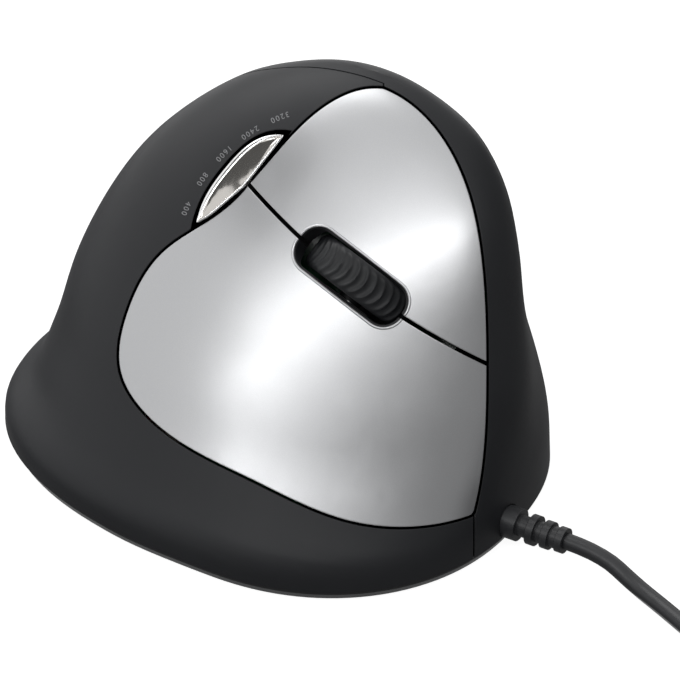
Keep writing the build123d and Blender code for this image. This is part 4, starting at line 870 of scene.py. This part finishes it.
@dataclass
class LensKey:
    """The chrome key's raised rims, one on each side, and the mirror between them."""

    outer_rim: float = 0.95
    inner_rim: float = 0.42
    rim_height: float = 0.24
    lift: float = 0.03
    depth: float = 0.20
    bowl: float = 0.14
    trim: float = 0.985
    outer_taper: float = 0.6
    inner_taper: float = 0.35
    crown_start: float = 0.08
    crown_power: float = 0.6
    stations: int = 80
    reach_share: float = 0.49
    inset: float = 0.7
    columns: tuple[int, int, int] = (10, 20, 8)
    crease: float = 50.0
    shade_ends: tuple[float, float] = (0.36, 0.98)
    shade_reach: float = 0.8
    shade_level: float = 0.13
    card_away: float = 0.3
    card_half: float = 0.09

    def frame_of(self, key: bpy.types.Object) -> tuple[Vector, Vector, list[Vector]]:
        """Finds the key's two tips and its outline on the finger face.

        Args:
            key: the cover of the key.

        Returns:
            The lower tip, the upper tip and the outline.
        """
        ways = facing(FACE.bearing, FACE.elevation)
        corners = [vert.co / MM for vert in key.data.vertices]
        flat = [Vector((corner.dot(ways[0]), corner.dot(ways[1]))) for corner in corners]
        ring = [flat[k] for k in geometry.convex_hull_2d([tuple(place) for place in flat])]
        pairs = ((one, two) for one in ring for two in ring if one.y < two.y)
        low, high = max(pairs, key=lambda pair: (pair[0] - pair[1]).length)
        return low, high, ring

    def edge(
        self, ring: list[Vector], low: Vector, along: Vector, side: Vector, at: float
    ) -> float:
        """How far the outline lies to one side of the line between the tips.

        Args:
            ring: the outline.
            low: the lower tip.
            along: the way from tip to tip.
            side: the way across, towards that side.
            at: the distance from the lower tip.

        Returns:
            The distance in millimetres.
        """
        best = 0.0
        for one, two in zip(ring, ring[1:] + ring[:1]):
            start, end = (one - low).dot(along), (two - low).dot(along)
            if min(start, end) <= at <= max(start, end) and start != end:
                mixed = one.lerp(two, (at - start) / (end - start))
                best = max(best, (mixed - low).dot(side))
        return best * self.trim

    def crown(self, share: float) -> float:
        """The height of a rim at a share of its width."""
        part = self.crown_start + (1 - 2 * self.crown_start) * share
        return self.lift + self.rim_height * math.sin(math.pi * part) ** self.crown_power

    def dish(self, share: float) -> float:
        """The height of the mirror at a share of its width."""
        return self.lift + self.bowl * (2 * share - 1) ** 2

    def build(self, key: bpy.types.Object) -> None:
        """Makes both rims and the mirror.

        Args:
            key: the cover of the key.
        """
        low, high, ring = self.frame_of(key)
        along, reach = (high - low).normalized(), (high - low).length
        side = Vector((-along.y, along.x))
        skin = tree_of(key)
        names = ("key_outer_rim", "key_mirror", "key_inner_rim")
        bars: dict[str, list[list[Vector]]] = {name: [] for name in names}
        for i in range(self.stations + 1):
            at = reach * (0.5 - self.reach_share * math.cos(math.pi * i / self.stations))
            left = self.edge(ring, low, along, side, at)
            right = self.edge(ring, low, along, -side, at)
            width = left + right
            outer = self.outer_rim * (1 - math.exp(-self.outer_taper * width / self.outer_rim))
            inner = self.inner_rim * (1 - math.exp(-self.inner_taper * width / self.inner_rim))
            bounds = (left, left - outer, inner - right, -right)
            tops = (self.crown, self.dish, self.crown)
            spans = zip(names, bounds, bounds[1:], tops, self.columns)
            for name, start, end, top, count in spans:
                section = []
                for j in range(count + 1):
                    offset = start + (end - start) * j / count
                    place = low + along * at + side * offset
                    inset = min(self.inset, width / 2)
                    inside = low + along * at + side * min(max(offset, inset - right), left - inset)
                    spot, normal = FACE.ground(skin, inside.x, inside.y)
                    foot = FACE.point(place.x, place.y, 0)
                    foot += FACE.out() * ((spot - foot).dot(normal) / FACE.out().dot(normal))
                    section.append((foot, normal, top(j / count)))
                points = [spot + normal * height * MM for spot, normal, height in section]
                points += [section[k][0] - section[k][1] * self.depth * MM for k in (-1, 0)]
                bars[name].append(points)
        for name, sections in bars.items():
            # The mirror gets the material whose warm grey colour paints the beige reflection; the rims get plain
            # chrome.
            finish = MIRROR_PAINTED_REFLECTION if name == "key_mirror" else RIM
            piece = sweep(sections, name, self.crease)
            settle(piece, Carrier.RESOLUTION_KEY, finish.build())
        self.shade(skin, [low + along * reach * share for share in self.shade_ends])
        log.info("framed the chrome key")

    def shade(self, skin: BVHTree, places: list[Vector]) -> None:
        """Puts a dark card where the upper part of the mirror reflects it.

        Args:
            skin: the key's faces.
            places: where the reflection starts and ends on the key.
        """
        hits, ways = [], []
        for place in places:
            spot, normal = FACE.ground(skin, place.x, place.y)
            ways.append((-FACE.out()).reflect(normal))
            hits.append(spot + ways[-1] * self.card_away)
        run = hits[1] - hits[0]
        across = run.cross(ways[0]).normalized() * self.card_half
        half = run * self.shade_reach
        stage_card("key_card", hits[0] + half, half, across, self.shade_level)


@dataclass
class PrintedNumbers:
    """Plain numbers printed along the outer side of the chrome key."""

    numbers: tuple[str, ...] = ("3200", "2400", "1600", "800", "400")
    centre: tuple[float, float] = (13.0, 33.8)
    radius: float = 31.55
    first: float = 111.0
    step: float = 11.5
    size: float = 1.5
    spacing: float = 1.3
    lift: float = 0.03

    def build(self, ground: bpy.types.Object) -> None:
        """Prints each number on the shell.

        Args:
            ground: the shell that carries the print.
        """
        skin, ink = tree_of(ground), PRINT.build()
        for k, number in enumerate(self.numbers):
            curve = bpy.data.curves.new(f"number_{number}", "FONT")
            curve.body = number
            curve.size = self.size
            curve.space_character = self.spacing
            curve.align_x = "CENTER"
            curve.align_y = "CENTER"
            text = bpy.data.objects.new(f"number_{number}", curve)
            mesh = bpy.data.meshes.new_from_object(text)
            bpy.data.objects.remove(text)
            bm = bmesh.new()
            bm.from_mesh(mesh)
            bearing = math.radians(self.first + self.step * k)
            for vert in bm.verts:
                reach = self.radius - vert.co.y
                turn = bearing + vert.co.x / self.radius
                spot, normal = FACE.ground(
                    skin,
                    self.centre[0] + reach * math.cos(turn),
                    self.centre[1] + reach * math.sin(turn),
                )
                vert.co = spot + normal * self.lift * MM
            printed = object_from(bm, f"number_{number}")
            settle(printed, Carrier.HOUSING, ink)
        log.info("printed %d numbers", len(self.numbers))


@dataclass
class Cable:
    """The cable from the grommet, through its coil, to its plug."""

    diameter: float = 3.3
    route: tuple[tuple[float, float, float], ...] = (
        (2.596, 65.4, 5.2), (2.596, 72.9, 5.2), (4.4, 81.0, 2.1), (7.4, 88.8, 1.65),
        (11.0, 96.2, 1.75),
    )
    tail: tuple[tuple[float, float, float], ...] = (
        (116.0, 29.3, 12.6), (132.0, 31.5, 9.0), (148.0, 33.3, 5.5), (164.0, 35.0, 3.8),
        (180.0, 36.3, 3.7),
    )
    approach: float = 7.5
    tail_straight: float = 5.0
    centre: tuple[float, float] = (-5.0, 122.7)
    start_bearing: float = -24.2
    layers: int = 4
    turns: float = 3.2
    climb_turns: float = 0.5
    middle_radius: float = 19.2
    pitch: float = 4.0
    rise: float = 3.9
    bottom: float = 2.45
    points_per_turn: int = 16
    length: float = 1815.0
    nudge: float = 0.0001

    def coil_point(self, turns: float) -> Vector:
        """A point of the coil's middle line.

        Args:
            turns: how many turns lie before it.

        Returns:
            The point, in millimetres.
        """
        stage = self.turns + self.climb_turns
        layer = min(int(turns / stage), self.layers - 1)
        wound = min(turns - layer * stage, self.turns)
        climb = max(turns - layer * stage - self.turns, 0) / self.climb_turns
        bulge = self.pitch * self.climb_turns * climb * (1 - climb)
        reach = self.turns * self.pitch / 2
        if layer % 2 == 0:
            radius = self.middle_radius + reach - self.pitch * wound - bulge
        else:
            radius = self.middle_radius - reach + self.pitch * wound + bulge
        height = self.bottom + self.rise * (layer + climb**2 * (3 - 2 * climb))
        bearing = math.radians(self.start_bearing + 360 * turns)
        x, y = self.centre
        return Vector((x + radius * math.cos(bearing), y + radius * math.sin(bearing), height))

    def points(self) -> list[Vector]:
        """The control points of the whole cable, from the grommet to the plug.

        Returns:
            The points, in millimetres.
        """
        total = self.layers * self.turns + (self.layers - 1) * self.climb_turns
        count = round(total * self.points_per_turn)
        coil = [self.coil_point(total * k / count) for k in range(count + 1)]
        start_way = (self.coil_point(self.nudge) - coil[0]).normalized()
        end_way = (coil[-1] - self.coil_point(total - self.nudge)).normalized()
        start = coil[0] - start_way * self.diameter
        end = coil[-1] + end_way * self.diameter
        beside = []
        for bearing, radius, height in self.tail:
            angle = math.radians(bearing)
            x, y = self.centre
            beside.append(
                Vector((x + radius * math.cos(angle), y + radius * math.sin(angle), height))
            )
        return [
            *[Vector(point) for point in self.route], start - start_way * self.approach, start,
            *coil, end, end + end_way * self.tail_straight, *beside,
            beside[-1] - Vector((0, self.tail_straight, 0)),
        ]

    def build(self, finishes: Finishes) -> None:
        """Args:
            finishes: the materials of the record's slots.
        """
        curve = bpy.data.curves.new("mouse_cable", "CURVE")
        curve.dimensions = "3D"
        points = self.points()
        spline = curve.splines.new("NURBS")
        spline.points.add(len(points) - 1)
        for target, point in zip(spline.points, points):
            target.co = (*(point * MM), 1.0)
        spline.order_u = 3
        spline.use_endpoint_u = True
        spline.resolution_u = 5
        curve.bevel_depth = self.diameter / 2 * MM
        curve.bevel_resolution = 4
        curve.use_fill_caps = True
        cable = bpy.data.objects.new("mouse_cable", curve)
        settle(cable, Carrier.HOUSING, finishes.made["cable_rubber"])
        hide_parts("cable", "cable_coil", "cable_tail")
        log.info("laid the cable through %d points", len(points))


@dataclass
class Studio:
    """The camera, the lamps, the floor and the backdrop."""

    bearing: float = 120.0
    elevation: float = 36.0
    distance: float = 1200.0
    focal: float = 330.35
    aim_right: float = 12.98
    aim_up: float = 21.33
    world_level: float = 0.3
    floor_size: float = 6.0
    floor_gap: float = 0.0001
    floor_grey: float = 0.42
    floor_rough: float = 0.9
    floor_glow: tuple[float, float] = (0.15, 0.92)
    cards: tuple[tuple, ...] = (
        ("front_card", (0, -0.77, 1.45), ((1.9, 0, 0), (0, 0.83, 0)), 0.3),
        ("side_card", (1.35, 0.2, -0.6), ((0, 0, 2.1), (0, 1.3, 0)), 0.34),
        ("floor_card", (0.4, -0.1, 0.14), ((0.75, 0, 0), (0, -0.27, 0.37)), 0.22),
    )
    lamps: tuple[tuple, ...] = (
        ("key lamp", (-0.55, 1.1, 0.1), (0.9, 0.9), 2.2),
        ("strip lamp", (-0.28, 0.43, 1.5), (2.2, 0.1), 9.6),
    )

    def axes(self) -> tuple[Vector, Vector, Vector]:
        """The view's right, up and backwards directions."""
        return facing(self.bearing, self.elevation)

    def camera(self) -> None:
        """Puts the camera where the photograph was taken."""
        right, up, back = self.axes()
        data = bpy.data.cameras.new("view")
        data.lens = self.focal
        data.sensor_width = 36.0
        data.clip_end = 20.0
        obj = bpy.data.objects.new("view", data)
        place = (right * self.aim_right + up * self.aim_up + back * self.distance) * MM
        turn = Matrix((right, up, back)).transposed().to_4x4()
        obj.matrix_world = Matrix.Translation(place) @ turn
        bpy.context.scene.collection.objects.link(obj)
        bpy.context.scene.camera = obj

    def lamp(
        self, name: str, place: tuple[float, float, float], size: tuple[float, float], level: float
    ) -> None:
        """Hangs a soft lamp, turned towards the mouse.

        Args:
            name: the lamp's name.
            place: right, up and backwards from the mouse in the view, in metres.
            size: its width and height in metres.
            level: how bright its face is, where white paper in full light is 1.
        """
        right, up, back = self.axes()
        data = bpy.data.lights.new(name, "AREA")
        data.shape = "RECTANGLE"
        data.size, data.size_y = size
        data.energy = level * math.pi * size[0] * size[1]
        obj = bpy.data.objects.new(name, data)
        spot = right * place[0] + up * place[1] + back * place[2]
        out = spot.normalized()
        side = (right - out * out.dot(right)).normalized()
        turn = Matrix((side, out.cross(side), out)).transposed().to_4x4()
        obj.matrix_world = Matrix.Translation(spot) @ turn
        obj.visible_camera = False
        bpy.context.scene.collection.objects.link(obj)

    def card(
        self,
        name: str,
        middle: tuple[float, float, float],
        edges: tuple[tuple[float, float, float], tuple[float, float, float]],
        level: float,
    ) -> None:
        """Stands a card beside the view, for the mouse to reflect.

        Args:
            name: the card's name.
            middle: its middle, right, up and backwards from the mouse, in metres.
            edges: half of its width and half of its height, in the same directions.
            level: how bright it looks, where white is 1.
        """
        axes = self.axes()
        centre, wide, high = (
            sum((way * part for way, part in zip(axes, parts)), Vector())
            for parts in (middle, *edges)
        )
        stage_card(name, centre, wide, high, level)

    def background_seen(
        self, nodes: bpy.types.Nodes, links: bpy.types.NodeLinks
    ) -> bpy.types.NodeSocket:
        """A value that is 1 for rays from the camera and through gloss or glass.

        Args:
            nodes: the nodes of the tree.
            links: the links of the tree.

        Returns:
            The value.
        """
        path = nodes.new("ShaderNodeLightPath")
        value = path.outputs["Is Camera Ray"]
        for ray in ("Is Glossy Ray", "Is Transmission Ray"):
            both = nodes.new("ShaderNodeMath")
            both.operation = "MAXIMUM"
            links.new(value, both.inputs[0])
            links.new(path.outputs[ray], both.inputs[1])
            value = both.outputs["Value"]
        return value

    def world(self) -> None:
        """A white backdrop that lights the mouse at a plain level."""
        world = bpy.data.worlds.new("studio")
        world.use_nodes = True
        bpy.context.scene.world = world
        nodes, links = world.node_tree.nodes, world.node_tree.links
        background = nodes["Background"]
        background.inputs["Color"].default_value = (1, 1, 1, 1)
        level = nodes.new("ShaderNodeMapRange")
        level.inputs["To Min"].default_value = self.world_level
        level.inputs["To Max"].default_value = 1.0
        links.new(self.background_seen(nodes, links), level.inputs["Value"])
        links.new(level.outputs["Result"], background.inputs["Strength"])

    def floor(self) -> None:
        """A white floor that keeps the mouse's shadow."""
        bm = bmesh.new()
        bmesh.ops.create_grid(bm, x_segments=1, y_segments=1, size=self.floor_size / 2)
        bmesh.ops.translate(bm, verts=bm.verts, vec=(0, 0, -self.floor_gap))
        floor = object_from(bm, "floor")
        tree = put_on_stage(floor, self.floor_grey, self.floor_rough).node_tree
        nodes, links = tree.nodes, tree.links
        glow = nodes.new("ShaderNodeMapRange")
        glow.inputs["To Min"].default_value = self.floor_glow[0]
        glow.inputs["To Max"].default_value = self.floor_glow[1]
        links.new(self.background_seen(nodes, links), glow.inputs["Value"])
        target = nodes["Principled BSDF"].inputs["Emission Strength"]
        links.new(glow.outputs["Result"], target)

    def build(self) -> None:
        """Sets up the whole studio."""
        bpy.context.scene.view_settings.view_transform = "Standard"
        self.camera()
        self.world()
        self.floor()
        for card in self.cards:
            self.card(*card)
        for lamp in self.lamps:
            self.lamp(*lamp)
        log.info("set up the studio")


def main() -> None:
    """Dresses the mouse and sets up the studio."""
    logging.basicConfig(level=logging.INFO, format="%(message)s")
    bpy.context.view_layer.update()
    Studio().build()
    finishes = Finishes()
    finishes.dress_nodes()
    Cable().build(finishes)
    covers = Shells().build(finishes)
    ScrollWheel().build(finishes.made["wheel_rubber"])
    WheelSlot().build(covers, finishes)
    LensKey().build(covers["dpi_button"])
    PrintedNumbers().build(covers["palm_shell"])


if __name__ == "__main__":
    main()
